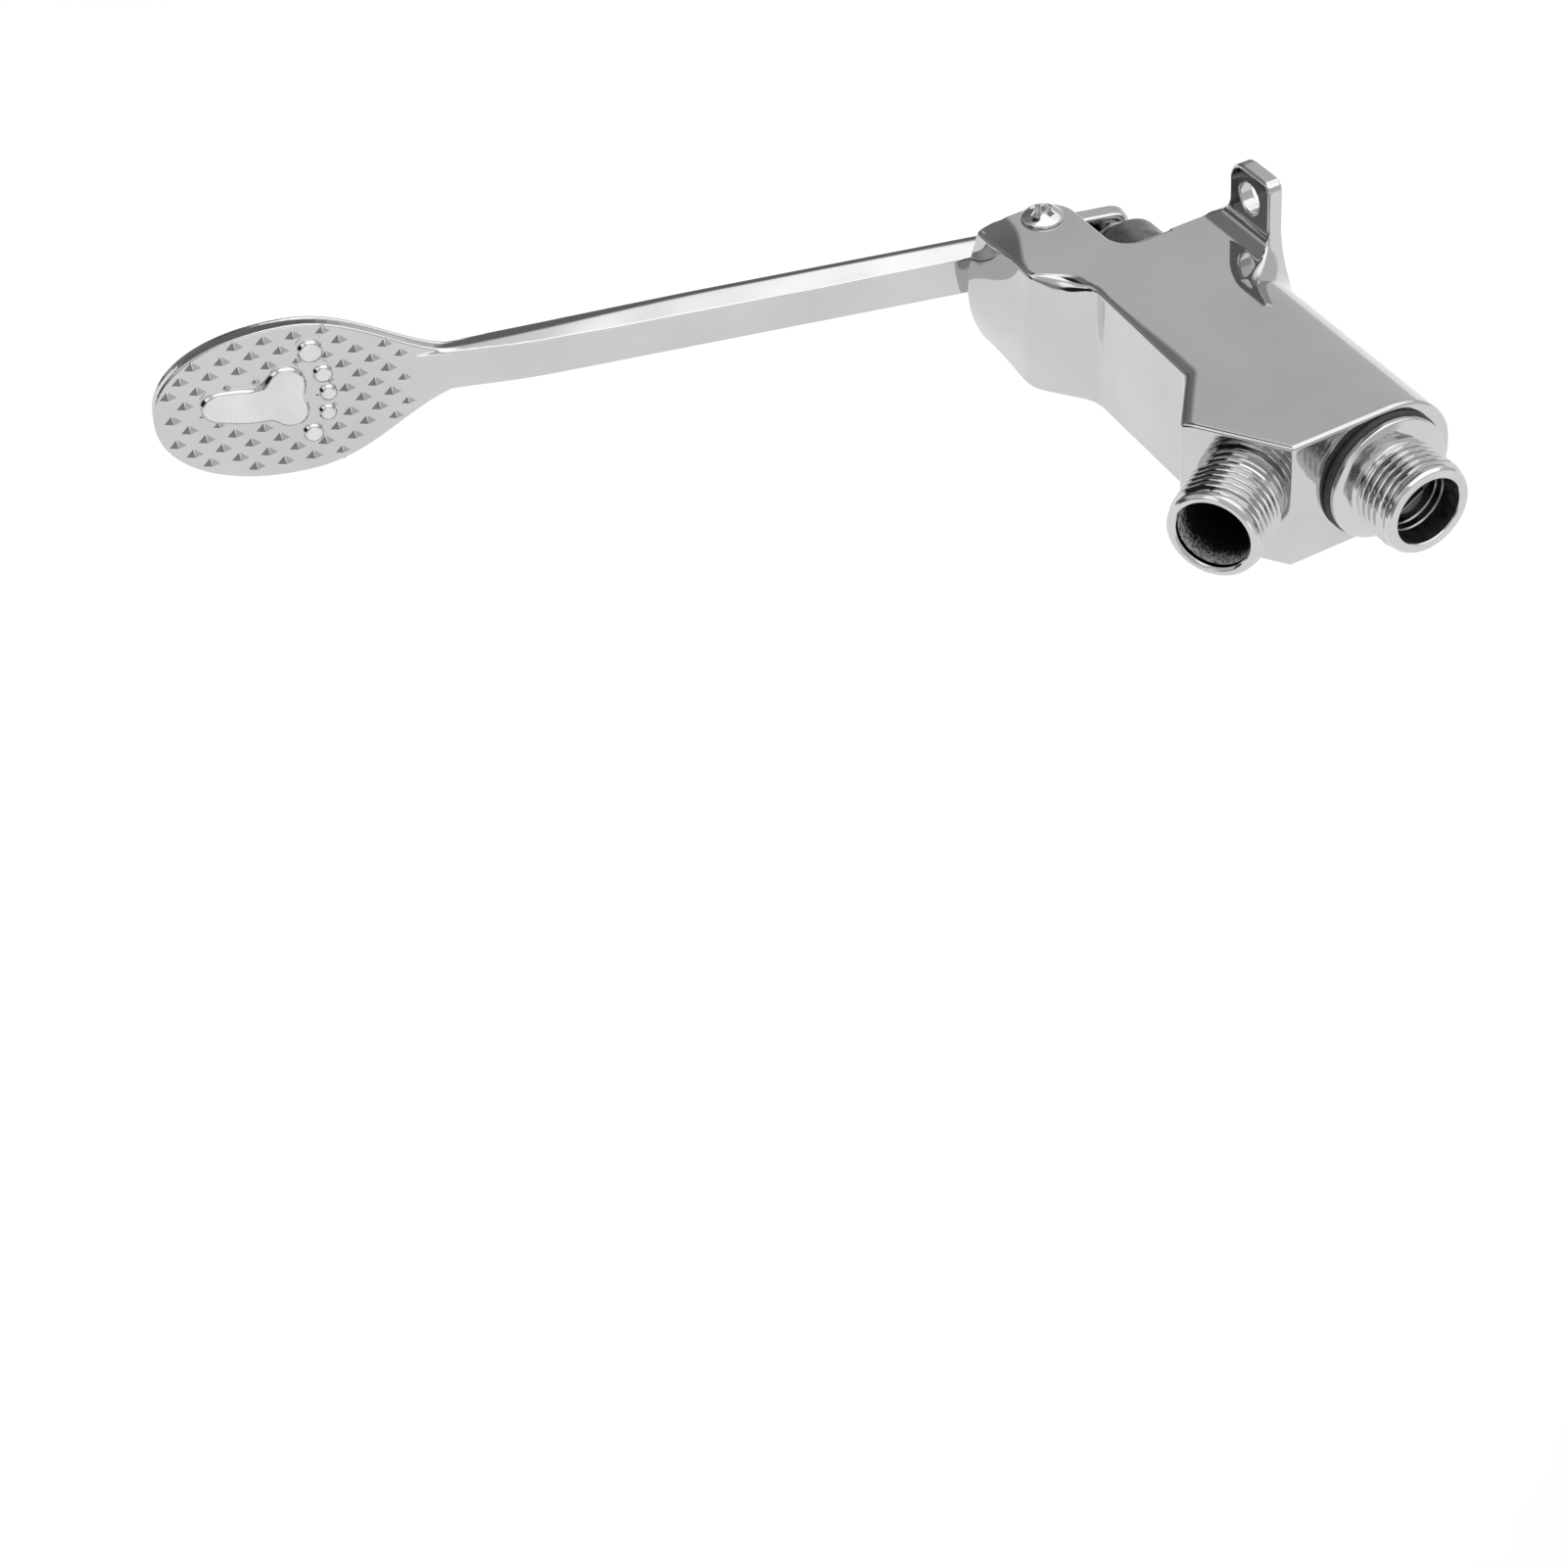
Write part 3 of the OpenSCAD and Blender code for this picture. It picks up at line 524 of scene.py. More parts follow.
def body_outline(toe_r, crease_r, shoulder_r):
    """The body seen from the side, given the radii of the fork's toe, crease and shoulder."""
    return rounded_outline([
        (0, BODY_BOTTOM, 0.6),
        (FORK_BACK, BODY_BOTTOM, 5.5),
        (FORK_BACK, FORK_BOTTOM, 6.8),
        (FORK_FRONT, FORK_BOTTOM, toe_r),
        (*CREASE, crease_r),
        (*SHOULDER, shoulder_r),
        (RECESS_FRONT, BRANCH_ROOT_Z, 3.5),
        (*BRANCH_LOWER, 0.9),
        (*BRANCH_UPPER, 0.9),
        (0, BODY_TOP, 0.8),
    ])


NEAR_OUTLINE = body_outline(1.0, 3.0, 4.5)
FAR_OUTLINE = body_outline(3.0, 9.0, 9.0)
SWELL_R = (HALF_W ** 2 + FORK_SWELL ** 2) / (2 * FORK_SWELL)
SWELL_LEAN = math.atan((FORK_FRONT + FORK_SWELL - CREASE[0]) / (CREASE[1] - FORK_BOTTOM))
FRONT_EDGE = np.array([
    (FORK_FRONT, FORK_BOTTOM), CREASE, SHOULDER, (RECESS_FRONT, BRANCH_ROOT_Z), BRANCH_LOWER,
])
# Wall plate
EAR_ROOT_R = 6.5
EAR_OUTLINE = rounded_outline([
    (-1, FORK_BOTTOM, 0), (HALF_W, FORK_BOTTOM, 0), (HALF_W, -EAR_HALF_H, EAR_ROOT_R),
    (EAR_END, -EAR_HALF_H, EAR_LOW_R), (EAR_END, BODY_TOP, 0), (-1, BODY_TOP, 0),
])
PLAN_FILLET = 4.4
END_FILLET = 9.0
END_SINK = 0.08
PLATE_EDGE_R = 0.6
PLATE_FRONT = BACK_R + 1
# Edges of the fork, the crease and the toe
OUTLINE_BLEND_Y = (-8, 12)
SWELL_EDGE_R = 0.9
SWELL_FILLET = 2.5
EDGE_R = 0.9
LENS_R = 2.4
LENS_Z = (CREASE[1] + SHOULDER[1]) / 2
LENS_SPREAD = 4.2
LENS_X = (38, 42)
TOE_R = 1.6
TOE_DEPTH = (18, 34)
TOE_X = (30, 36)
# Polished fall of the near side beside the front edges
FALL_SLOPE = 0.19
FALL_SOFT = 0.7
FALL_WIDTH = 0.9
FALL_MORE_ABOVE, FALL_HEIGHT = 1.5, (0, 32)
FALL_MORE_AT_FORK, FALL_DEPTH = 5.3, (15, 33)
# Plain core under the outlet's threaded skin
CORE_INSET = 0.6
CORE_SHORT = 0.8
CORE_SUNK = 4
CORE_FILLET = 0.6
CORE_EDGE_R = 0.1
# Bores and the lever's slot
BORE_EDGE_R = 0.25
BORE_SKIN = 0.12
BORE_LAP = 1
SLOT_EDGE_R = 0.5
SPIGOT_ROOM = 0.5
SCREW_PLAY = 0.05
# Mesh
CASTING_REACH = 68
CASTING_STEP = 0.42


def along_outlet(x, z):
    """Distance along the outlet axis, and away from it in the middle plane."""
    dx, dz = x - VALVE_X, z - OUTLET_CROSS_Z
    return dx * OUTLET_AXIS[0] + dz * OUTLET_AXIS[1], dx * OUTLET_ACROSS[0] + dz * OUTLET_ACROSS[1]


def front_field(x, y, z):
    """The body seen from the side, with the fork's front swelling towards its bottom edge."""
    dx, dz = x - FORK_FRONT - FORK_SWELL, z - FORK_BOTTOM
    out = dx * math.cos(SWELL_LEAN) + dz * math.sin(SWELL_LEAN)
    drum = np.hypot(out + SWELL_R, y) - SWELL_R
    front = np.maximum(drum, SLOT_FRONT - x)
    swell = round_and(front, between(z, FORK_BOTTOM, CREASE[1]), SWELL_EDGE_R)
    share = smooth_step(y, *OUTLINE_BLEND_Y)
    near, far = outline_distance(x, z, NEAR_OUTLINE), outline_distance(x, z, FAR_OUTLINE)
    return soft_or((1 - share) * near + share * far, swell, SWELL_FILLET)


def line_distance(x, z, line):
    """Distance in the plane to an open line of corners."""
    nearest = np.inf
    for (ax, az), (bx, bz) in zip(line[:-1], line[1:]):
        ex, ez = bx - ax, bz - az
        share = np.clip(((x - ax) * ex + (z - az) * ez) / (ex * ex + ez * ez), 0, 1)
        nearest = np.minimum(nearest, np.hypot(x - ax - share * ex, z - az - share * ez))
    return nearest


def side_fall(x, y, z):
    """How far the polished near side falls away beside the front edges, most of all at the fork."""
    more_above = FALL_MORE_ABOVE * smooth_step(z, *FALL_HEIGHT)
    more_at_fork = FALL_MORE_AT_FORK * smooth_step(-z, *FALL_DEPTH)
    width = FALL_WIDTH + more_above + more_at_fork
    near = width - line_distance(x, z, FRONT_EDGE)
    soft = np.clip(near + FALL_SOFT, 0, 2 * FALL_SOFT) ** 2 / (4 * FALL_SOFT)
    return np.where(y < 0, FALL_SLOPE * np.maximum(soft, near), 0)


def wall_plate_field(column, x, y, z):
    """The wall plate: a block behind the column with two ears, whose end flows into the column."""
    plan = round_or(np.abs(y) - HALF_W, x - PLATE_T, PLAN_FILLET)
    plan = np.maximum(plan, np.maximum(x - PLATE_FRONT, BODY_BOTTOM - z))
    end = round_or(column + END_SINK, z - EAR_HALF_H, END_FILLET)
    outline = round_and(outline_distance(np.abs(y), z, EAR_OUTLINE), end, EAR_HIGH_R)
    return round_and(outline, plan, PLATE_EDGE_R)


def drilled(field, bores, radius):
    """A field with bores cut out of it, their edges broken by a radius."""
    for bore in bores:
        field = round_and(field, -bore, radius)
    return field


def casting_field(x, y, z):
    """The whole valve casting without its thread."""
    back, flat = np.hypot(x - BACK_R, y) - BACK_R, np.abs(y) - HALF_W + side_fall(x, y, z)
    plan = np.where(x < BACK_R, back, flat)
    lens = np.exp(-((z - LENS_Z) / LENS_SPREAD) ** 2) * smooth_step(x, *LENS_X)
    toe = TOE_R * smooth_step(-z, *TOE_DEPTH) * smooth_step(x, *TOE_X)
    field = round_and(front_field(x, y, z), plan, EDGE_R + np.where(y < 0, LENS_R * lens, toe))
    field = np.minimum(field, wall_plate_field(field, x, y, z))
    along, off = along_outlet(x, z)
    outlet_r = np.hypot(off, y)
    stub_end = BRANCH_REACH + OUTLET_STUB
    core = round_and(outlet_r - STUB_ROOT_R + CORE_INSET, along - stub_end + CORE_SHORT, CORE_EDGE_R)
    field = soft_or(field, np.maximum(core, BRANCH_REACH - CORE_SUNK - along), CORE_FILLET)
    field = np.maximum(field, -x)
    axis_r = np.hypot(x - VALVE_X, y)
    wall_r = np.hypot(np.abs(y) - EAR_Y, z)
    port_r = np.hypot(off + PORT_DROP, y)
    bore_end = stub_end - OUTLET_BORE_DEPTH
    return drilled(field, [
        round_and(np.abs(y) - SLOT_HALF, np.maximum(x - SLOT_FRONT, z - SLOT_ROOF), SLOT_EDGE_R),
        np.maximum(axis_r - COLLAR_R, z - BODY_BOTTOM),
        np.maximum(axis_r - GLAND_R, z - GLAND_TOP),
        np.maximum(axis_r - CHAMBER_R, between(z, GLAND_TOP - BORE_LAP, SEAT_WEB[0])),
        np.maximum(axis_r - SEAT_HOLE_R, between(z, SEAT_WEB[0] - BORE_LAP, SEAT_WEB[1] + BORE_LAP)),
        np.maximum(axis_r - SPRING_ROOM_R, between(z, SEAT_WEB[1], SPIGOT_END)),
        np.maximum(axis_r - SPIGOT_R, SPIGOT_END - SPIGOT_ROOM - z),
        np.maximum(outlet_r - OUTLET_BORE_R, bore_end - along),
        np.maximum(port_r - PORT_R, np.maximum(-along, along - bore_end - BORE_LAP)),
        np.hypot(x - PIVOT_X, z - PIVOT_Z) - SCREW_R - SCREW_PLAY,
        wall_r - WALL_HOLE_R,
    ], BORE_EDGE_R)


def add_casting():
    """The valve casting, whose outlet bore is left rough."""
    low, high = (-1, -EAR_END - 1, FORK_BOTTOM - 1), (CASTING_REACH, EAR_END + 1, INLET_MOUTH)
    points, quads, normals = field_mesh(casting_field, low, high, CASTING_STEP)
    casting = add_piece("valve_casting", points, quads, "valve",
                        FINISHES["chrome_casting"], normals)
    casting.data.materials.append(ROUGH_BORE)
    middle = points[quads].mean(axis=1)
    along, off = along_outlet(middle[:, 0], middle[:, 2])
    inside = (np.hypot(off, middle[:, 1]) < OUTLET_BORE_R + BORE_SKIN) & (along > 0)
    casting.data.polygons.foreach_set("material_index", inside.astype(int))
    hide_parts("valve_body")


# Threads

TURNED_SIDES = 192
ROWS_PER_PITCH = 14
CREST_ROUND = (0.12, 0.88)
RUN_IN = (-0.2, 0.9)
RUN_OUT = (-0.7, 0.2)
OUTLET_CRESTS = THREAD_CRESTS + 0.7
WALL_SLACK, OUTER_SLACK, END_SLACK = 0.05, 0.5, 1
LIP_R = CREST_R - 0.45
SKIN_R = STUB_ROOT_R - 1.0
HEX_EDGE = 0.15
INLET_LIP, INLET_SKIN = 0.25, 0.1


def thread_swell(height, turn, start, end):
    """Height of a right-handed pipe thread with rounded crests and roots, run out at both ends."""
    phase = (height - start) / THREAD_PITCH - turn / (2 * math.pi)
    ridge = 1 - 2 * np.abs(phase - np.round(phase))
    run_in = smooth_step(height, start + RUN_IN[0], start + RUN_IN[1])
    run_out = 1 - smooth_step(height, end + RUN_OUT[0], end + RUN_OUT[1])
    return THREAD_DEPTH * smooth_step(ridge, *CREST_ROUND) * (run_in * run_out)


def threaded_rows(outline, start, end):
    """Rows of a turned skin from its (radius, height) outline, with a thread on its outer wall."""
    turn = full_turn(TURNED_SIDES)
    rows = []
    for (r, h), (r_next, h_next) in zip(outline, np.roll(outline, -1, axis=0)):
        rows.append((r, h))
        upright = abs(r - r_next) < WALL_SLACK and h < h_next
        outer = r > STUB_ROOT_R - OUTER_SLACK
        if upright and outer and h_next > end - END_SLACK:
            for height in np.arange(h, h_next, THREAD_PITCH / ROWS_PER_PITCH)[1:]:
                rows.append((r + thread_swell(height, turn, start, end), height))
    return rows


def add_outlet_thread():
    """The threaded skin of the outlet stub, with the rounded lip of its mouth."""
    mouth = BRANCH_REACH + OUTLET_STUB
    end = mouth - STUB_TIP
    start = end - OUTLET_CRESTS * THREAD_PITCH
    outline = rounded_outline([
        (SKIN_R, BRANCH_REACH - 0.6, 0),
        (STUB_ROOT_R + 0.35, BRANCH_REACH - 0.6, 0),
        (STUB_ROOT_R, BRANCH_REACH + 0.5, 0.4),
        (STUB_ROOT_R, start - 0.8, 0.3),
        (THREAD_ROOT_R, start - 0.4, 0.3),
        (THREAD_ROOT_R, end, 0.2),
        (LIP_R, end + 0.35, 0.25),
        (LIP_R, mouth - 0.7, 0.4),
        (CREST_R - 1.2, mouth, 0.3),
        (OUTLET_BORE_R + 0.5, mouth, 0.3),
        (OUTLET_BORE_R - 0.04, mouth - 0.6, 0.3),
        (OUTLET_BORE_R - 0.04, mouth - 1.6, 0),
        (OUTLET_BORE_R + 0.3, mouth - 1.8, 0),
        (SKIN_R, mouth - 1.8, 0),
    ], 5)
    points, quads = ring_mesh(threaded_rows(outline, start, end), TURNED_SIDES)
    turn = Matrix.Rotation(OUTLET_TILT, 4, "Y")
    place = Matrix.Translation((VALVE_X * MM, 0, OUTLET_CROSS_Z * MM)) @ turn
    add_piece("outlet_thread", points, quads, "valve",
              FINISHES["chrome_turned"], place=place)


def add_inlet_adapter():
    """Screwed-in nipple: flange, undercut, thread, lip, bore and inner hexagon."""
    end = INLET_MOUTH - STUB_TIP
    start = end - THREAD_CRESTS * THREAD_PITCH
    flange_top = FLANGE_UNDER + FLANGE_T
    outline = rounded_outline([
        (SPRING_BORE_R, SPIGOT_END, 0.2),
        (SPIGOT_R - 0.04, SPIGOT_END, 0.4),
        (SPIGOT_R - 0.04, FLANGE_UNDER, 0.1),
        (SEAL_RING_R - 0.98, FLANGE_UNDER, 0.1),
        (SEAL_RING_R - 0.5, FLANGE_UNDER + 0.3, 0.2),
        (FLANGE_R, FLANGE_UNDER + 0.3, 0.25),
        (FLANGE_R, flange_top, 0.45),
        (FLANGE_R - 1.6, flange_top + 0.5, 1.0),
        (STUB_ROOT_R + 0.5, flange_top + 0.9, 0.4),
        (THREAD_ROOT_R, flange_top + 1.5, 0.3),
        (THREAD_ROOT_R, end, 0.2),
        (LIP_R, end + 0.35, 0.25),
        (LIP_R, INLET_MOUTH - 0.7, 0.4),
        (CREST_R - 0.95, INLET_MOUTH, 0.35),
        (INLET_BORE_R + 0.2, INLET_MOUTH, 0.15),
        (INLET_BORE_R, INLET_MOUTH - 0.3, 0.15),
        (INLET_BORE_R, INLET_MOUTH - 5.4, 0.1),
        (INLET_BORE_R - 0.3, INLET_MOUTH - 5.7, 0.1),
        (INLET_BORE_R - 0.3, INLET_MOUTH - 7.2, 0.1),
        (INLET_BORE_R - 0.6, INLET_MOUTH - 7.5, 0.1),
        (INLET_BORE_R - 0.6, DRIVE_TOP, 0.1),
    ], 5)
    rows = threaded_rows(outline, start, end)
    turn = full_turn(TURNED_SIDES)
    sector = math.pi / 3
    hexagon = DRIVE_AF / 2 / np.cos((turn + sector / 2) % sector - sector / 2)
    rows += [
        (hexagon + HEX_EDGE, DRIVE_TOP),
        (hexagon, DRIVE_TOP - HEX_EDGE),
        (hexagon, DRIVE_FOOT),
        (SPRING_BORE_R, DRIVE_FOOT),
    ]
    points, quads = ring_mesh(rows, TURNED_SIDES)
    place = Matrix.Translation((VALVE_X * MM, 0, 0))
    adapter = add_piece("inlet_nipple", points, quads, "valve",
                        FINISHES["chrome_turned"], place=place)
    adapter.data.materials.append(SMOOTH_BORE)
    bore_top, bore_r = (INLET_MOUTH - INLET_LIP) * MM, (INLET_BORE_R + INLET_SKIN) * MM
    inside = [face.center.z < bore_top
              and math.hypot(face.center.x - VALVE_X * MM, face.center.y) < bore_r
              for face in adapter.data.polygons]
    adapter.data.polygons.foreach_set("material_index", np.array(inside, int))
    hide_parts("inlet_adapter")


# The pedal lever, in coordinates along the bar, to the side and off the bar

TUCK_SLOPE = 0.12
PAD_STEPS = 46


def lever_half(s):
    """Half width of the lever: an oval tip, and a neck that flows into the bar."""
    tip = np.clip((s - PAD_REACH) / PAD_HALF, 0, 1)
    neck = np.clip((PAD_REACH - s) / NECK_LEN, 0, 1)
    oval = PAD_HALF_W * (1 - tip ** PAD_TIP_POWER) ** (1 / PAD_TIP_POWER)
    flow = BAR_HALF + (PAD_HALF_W - BAR_HALF) * (1 + np.cos(math.pi * neck ** NECK_POWER)) / 2
    tuck = TUCK_SLOPE * np.maximum(PAD_REACH - NECK_LEN - s, 0)
    return np.where(s > PAD_REACH, oval, flow - tuck)


def pad_outline():
    """The lever seen from above, from the root of its neck to the tip."""
    share = np.sin(np.linspace(0, math.pi / 2, PAD_STEPS))
    root = PAD_REACH - NECK_LEN - NECK_TUCK
    s = root + (PAD_REACH + PAD_HALF - root) * share
    half = lever_half(s)
    return np.concatenate([np.stack([s, -half], 1), np.stack([s, half], 1)[-2::-1]])


PAD_OUTLINE = pad_outline()
# Discs of the footprint: place along the bar, to the side, radius
SOLE = [
    (181.2, -1.9, 3.4), (177.0, -1.2, 3.8), (172.4, -0.3, 4.1),
    (165.6, -4.5, 4.4), (165.4, 2.6, 3.9),
]
TOES = [
    (159.4, -11.6, 2.9), (157.5, -5.4, 2.3), (157.0, -0.4, 2.1),
    (157.8, 4.6, 2.1), (161.6, 9.2, 2.4),
]
SOLE_BLEND = 4.5
PRINT_EDGE = (-0.1, 0.8)
# Pad: edge radius, draft of its wall, and the bead at the wall's foot
PAD_EDGE_R = 0.6
PAD_DRAFT = 0.16
BEAD_OUT, BEAD_UP, BEAD_SPREAD = 0.35, 0.9, 0.55
# Bar
BAR_BEND_R = 120
BAR_OUTLINE = rounded_outline([
    (2, BAR_UNDER, 0),
    (PAD_REACH - NECK_LEN - 6, BAR_UNDER, BAR_BEND_R),
    (TREAD_START - 1, PAD_UNDER + 0.3, 0),
    (TREAD_START - 1, PAD_TOP - 0.3, 0),
    (PAD_REACH - NECK_LEN - 12, BAR_TOP, BAR_BEND_R),
    (2, BAR_TOP, 0),
])
BAR_EDGE_R = 0.4
# Waves of hand polishing: height, length, start
BAR_WAVES = [(0.05, 6.5, 0), (0.04, 3.7, 1)]
BAR_DRAFT, MORE_DRAFT, MORE_DRAFT_S = 0.15, 0.05, (12, 40)
PARTING_UP, PARTING_RISE, PARTING_RISE_S = 2.2, 2.2, (70, 125)
UNDER_DRAFT = 0.25
PARTING_SOFT = 0.25
# Hub
HUB_EDGE_R = 0.8
HUB_BORE_EDGE_R = 0.3
PAD_BLEND, HUB_BLEND = 0.7, 0.6
# Tread, and the footprint's rubbed top with its painted sheen
RIM_GAP = 0.2
PRINT_LAP = 0.6
START_LAP = 2
TREAD_SMALLEST = 0.35
RUBBED_SHEEN_SHARE = 0.93
LEVER_STEP = 0.33


def from_world(x, z):
    """Lever coordinates of a point in the middle plane."""
    dx, dz = x - PIVOT_X, z - PIVOT_Z
    return (dx * math.cos(LEVER_TILT) - dz * math.sin(LEVER_TILT),
            dx * math.sin(LEVER_TILT) + dz * math.cos(LEVER_TILT))


def hub_outline():
    """Riser under the hub, which rests on the fork's front wall, and the tail under the plunger."""
    stop_x = SLOT_FRONT - 0.3
    stop_s, stop_t = from_world(stop_x, PIVOT_Z - 1)
    foot_s = stop_x - PIVOT_X + 0.8
    return rounded_outline([
        (-HUB_R, 0, 0),
        (0, 2, 0),
        (stop_s, stop_t, 1.0),
        (foot_s, BAR_TOP - 1, 0.6),
        (foot_s, BAR_UNDER, 0.6),
        (-TAIL_LEN, BAR_UNDER, 2.0),
        (-TAIL_LEN, TAIL_TOP, 2.0),
        (-HUB_R - 2.5, TAIL_TOP, 3.0),
    ])


HUB_OUTLINE = hub_outline()


def footprint_field(s, y):
    """Distance in the plane to the raised sole and its five toes."""
    discs = [np.hypot(s - at, y - side) - radius for at, side, radius in SOLE + TOES]
    print_field = discs[0]
    for disc in discs[1:len(SOLE)]:
        print_field = soft_or(print_field, disc, SOLE_BLEND)
    for toe in discs[len(SOLE):]:
        print_field = np.minimum(print_field, toe)
    return print_field


def pad_field(s, y, t):
    """The oval pad: a waisted edge wall with a bead at its foot, and the raised footprint."""
    bead = BEAD_OUT * np.exp(-((t - PAD_UNDER - BEAD_UP) / BEAD_SPREAD) ** 2)
    wall = outline_distance(s, y, PAD_OUTLINE) + PAD_DRAFT * (PAD_TOP - t) - bead
    top = PAD_TOP + PRINT_RISE * smooth_step(-footprint_field(s, y), *PRINT_EDGE)
    return round_and(wall, np.maximum(PAD_UNDER - t, t - top), PAD_EDGE_R)


def bar_field(s, y, t):
    """The bar, whose near side leans back from a parting line and is wavy from polishing."""
    wave = sum(height * np.sin(s / length + start) for height, length, start in BAR_WAVES)
    draft = (BAR_DRAFT + MORE_DRAFT * smooth_step(s, *MORE_DRAFT_S)) * (1 + wave)
    above = t - BAR_UNDER - PARTING_UP - PARTING_RISE * smooth_step(s, *PARTING_RISE_S)
    bend = np.hypot(above, PARTING_SOFT)
    lean = (draft - UNDER_DRAFT) / 2 * above + (draft + UNDER_DRAFT) / 2 * bend
    side = np.where(y < 0, -y - BAR_NEAR_HALF + lean, y - BAR_FAR_HALF)
    return round_and(outline_distance(s, t, BAR_OUTLINE), side, BAR_EDGE_R)


def hub_field(s, y, t):
    """Hub, riser and tail, with the tail's end rounded."""
    side_view = np.minimum(np.hypot(s, t) - HUB_R, outline_distance(s, t, HUB_OUTLINE))
    past_end = np.maximum(TAIL_ROUND - TAIL_LEN - s, 0)
    past_side = np.maximum(np.abs(y) - HUB_HALF + TAIL_ROUND, 0)
    return round_and(side_view, np.hypot(past_end, past_side) - TAIL_ROUND, HUB_EDGE_R)


def lever_field(s, y, t):
    """The pedal casting without its tread."""
    field = soft_or(pad_field(s, y, t), bar_field(s, y, t), PAD_BLEND)
    field = soft_or(field, hub_field(s, y, t), HUB_BLEND)
    return round_and(field, HUB_BORE_R - np.hypot(s, t), HUB_BORE_EDGE_R)


def tread_places():
    """Places and sizes of the pyramids: a diamond lattice, smaller beside rim and footprint."""
    pitch = TREAD_PITCH / math.sqrt(2)
    count = int(PAD_HALF / pitch) + 2
    for i in range(-count - 4, count + 1):
        for j in range(-count, count + 1):
            s, y = PAD_REACH + i * pitch, j * pitch
            rim = -outline_distance(np.array(s), np.array(y), PAD_OUTLINE)
            beside_print = footprint_field(s, y) + PRINT_LAP
            room = min(rim - RIM_GAP, beside_print, s - TREAD_START + START_LAP)
            size = min(1, room / TREAD_HALF)
            if (i + j) % 2 == 0 and size > TREAD_SMALLEST:
                yield s, y, size


def tread_pyramids():
    """Points and faces of all pyramids, sunk a little, their hips broken by narrow flats."""
    points, faces = [], []
    for s, y, size in tread_places():
        first = len(points)
        reach = TREAD_HALF * (size + TREAD_SUNK / TREAD_H)
        points.append((s, y, PAD_TOP + TREAD_H * size))
        for quarter in range(4):
            out = np.array((math.cos(quarter * math.pi / 2), math.sin(quarter * math.pi / 2)))
            across = np.array((-out[1], out[0]))
            for side in (-HIP_HALF, HIP_HALF):
                corner = out * (reach - HIP_HALF) + across * side
                points.append((s + corner[0], y + corner[1], PAD_TOP - TREAD_SUNK))
        ring = [first + 1 + k for k in range(8)]
        faces += [(first, ring[k], ring[(k + 1) % 8]) for k in range(8)]
        faces.append(ring[::-1])
    return np.array(points), faces


def flat_normals(points, faces):
    """One normal for each corner of each face, square to the face."""
    normals = []
    for face in faces:
        a, b, c = (points[k] for k in face[:3])
        normal = np.cross(b - a, c - a)
        normals += [normal / np.linalg.norm(normal)] * len(face)
    return np.array(normals)


def add_lever():
    """The pedal casting with its tread; the raised footprint's top is rubbed dull and painted with a
    lighter sheen.
    """
    high = (PAD_REACH + PAD_HALF + 1, PAD_HALF_W + 1, HUB_R + 1)
    low = (-TAIL_LEN - 1, -PAD_HALF_W - 1, BAR_UNDER - 1)
    points, quads, normals = field_mesh(lever_field, low, high, LEVER_STEP)
    tread, tread_faces = tread_pyramids()
    normals = np.concatenate([normals[quads].reshape(-1, 3), flat_normals(tread, tread_faces)])
    faces = quads.tolist() + [[len(points) + k for k in face] for face in tread_faces]
    turn = Matrix.Rotation(LEVER_TILT, 4, "Y")
    place = Matrix.Translation((PIVOT_X * MM, 0, PIVOT_Z * MM)) @ turn
    normals = normals @ np.array(turn.to_3x3()).T
    lever = add_piece("pedal_casting", np.concatenate([points, tread]), faces,
                      "lever", FINISHES["chrome_casting"], normals, place)
    lever.data.materials.append(RUBBED_SHEEN_CHROME)
    middle = points[quads].mean(axis=1)
    # Faces on top of the footprint get the rubbed chrome with its painted sheen
    rubbed_and_sheen = np.zeros(len(faces), int)
    rubbed_and_sheen[:len(quads)] = middle[:, 2] > PAD_TOP + RUBBED_SHEEN_SHARE * PRINT_RISE
    rubbed_and_sheen[:len(quads)] &= middle[:, 0] > TREAD_START
    lever.data.polygons.foreach_set("material_index", rubbed_and_sheen)
    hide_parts("pedal_lever")


# Small pieces

# Screw: head, shank and cross recess
RIM_DRAFT = 0.25
HEAD_EDGE_R = 0.35
HEAD_FOOT_R = 0.15
SHANK_SHORT, SHANK_LAP = 1.5, 0.5
WING_HALF_W, WING_HALF_LEN = 0.85, 3.3
WING_TAPER_W, WING_TAPER_LEN = 0.15, 0.95
WING_TAPER_DEPTH = 3
WING_BLEND = 0.8
CROSS_DEPTH = 2.2
CROSS_EDGE_R = 0.3
SCREW_TURN = math.radians(20)
SCREW_STEP = 0.16
# Spring
WIRE_SIDES = 12
RINGS_PER_TURN = 40
# Edges of the pieces that the construction shows itself
EDGE_BREAK = 0.15
EDGE_BREAK_ANGLE = math.radians(50)


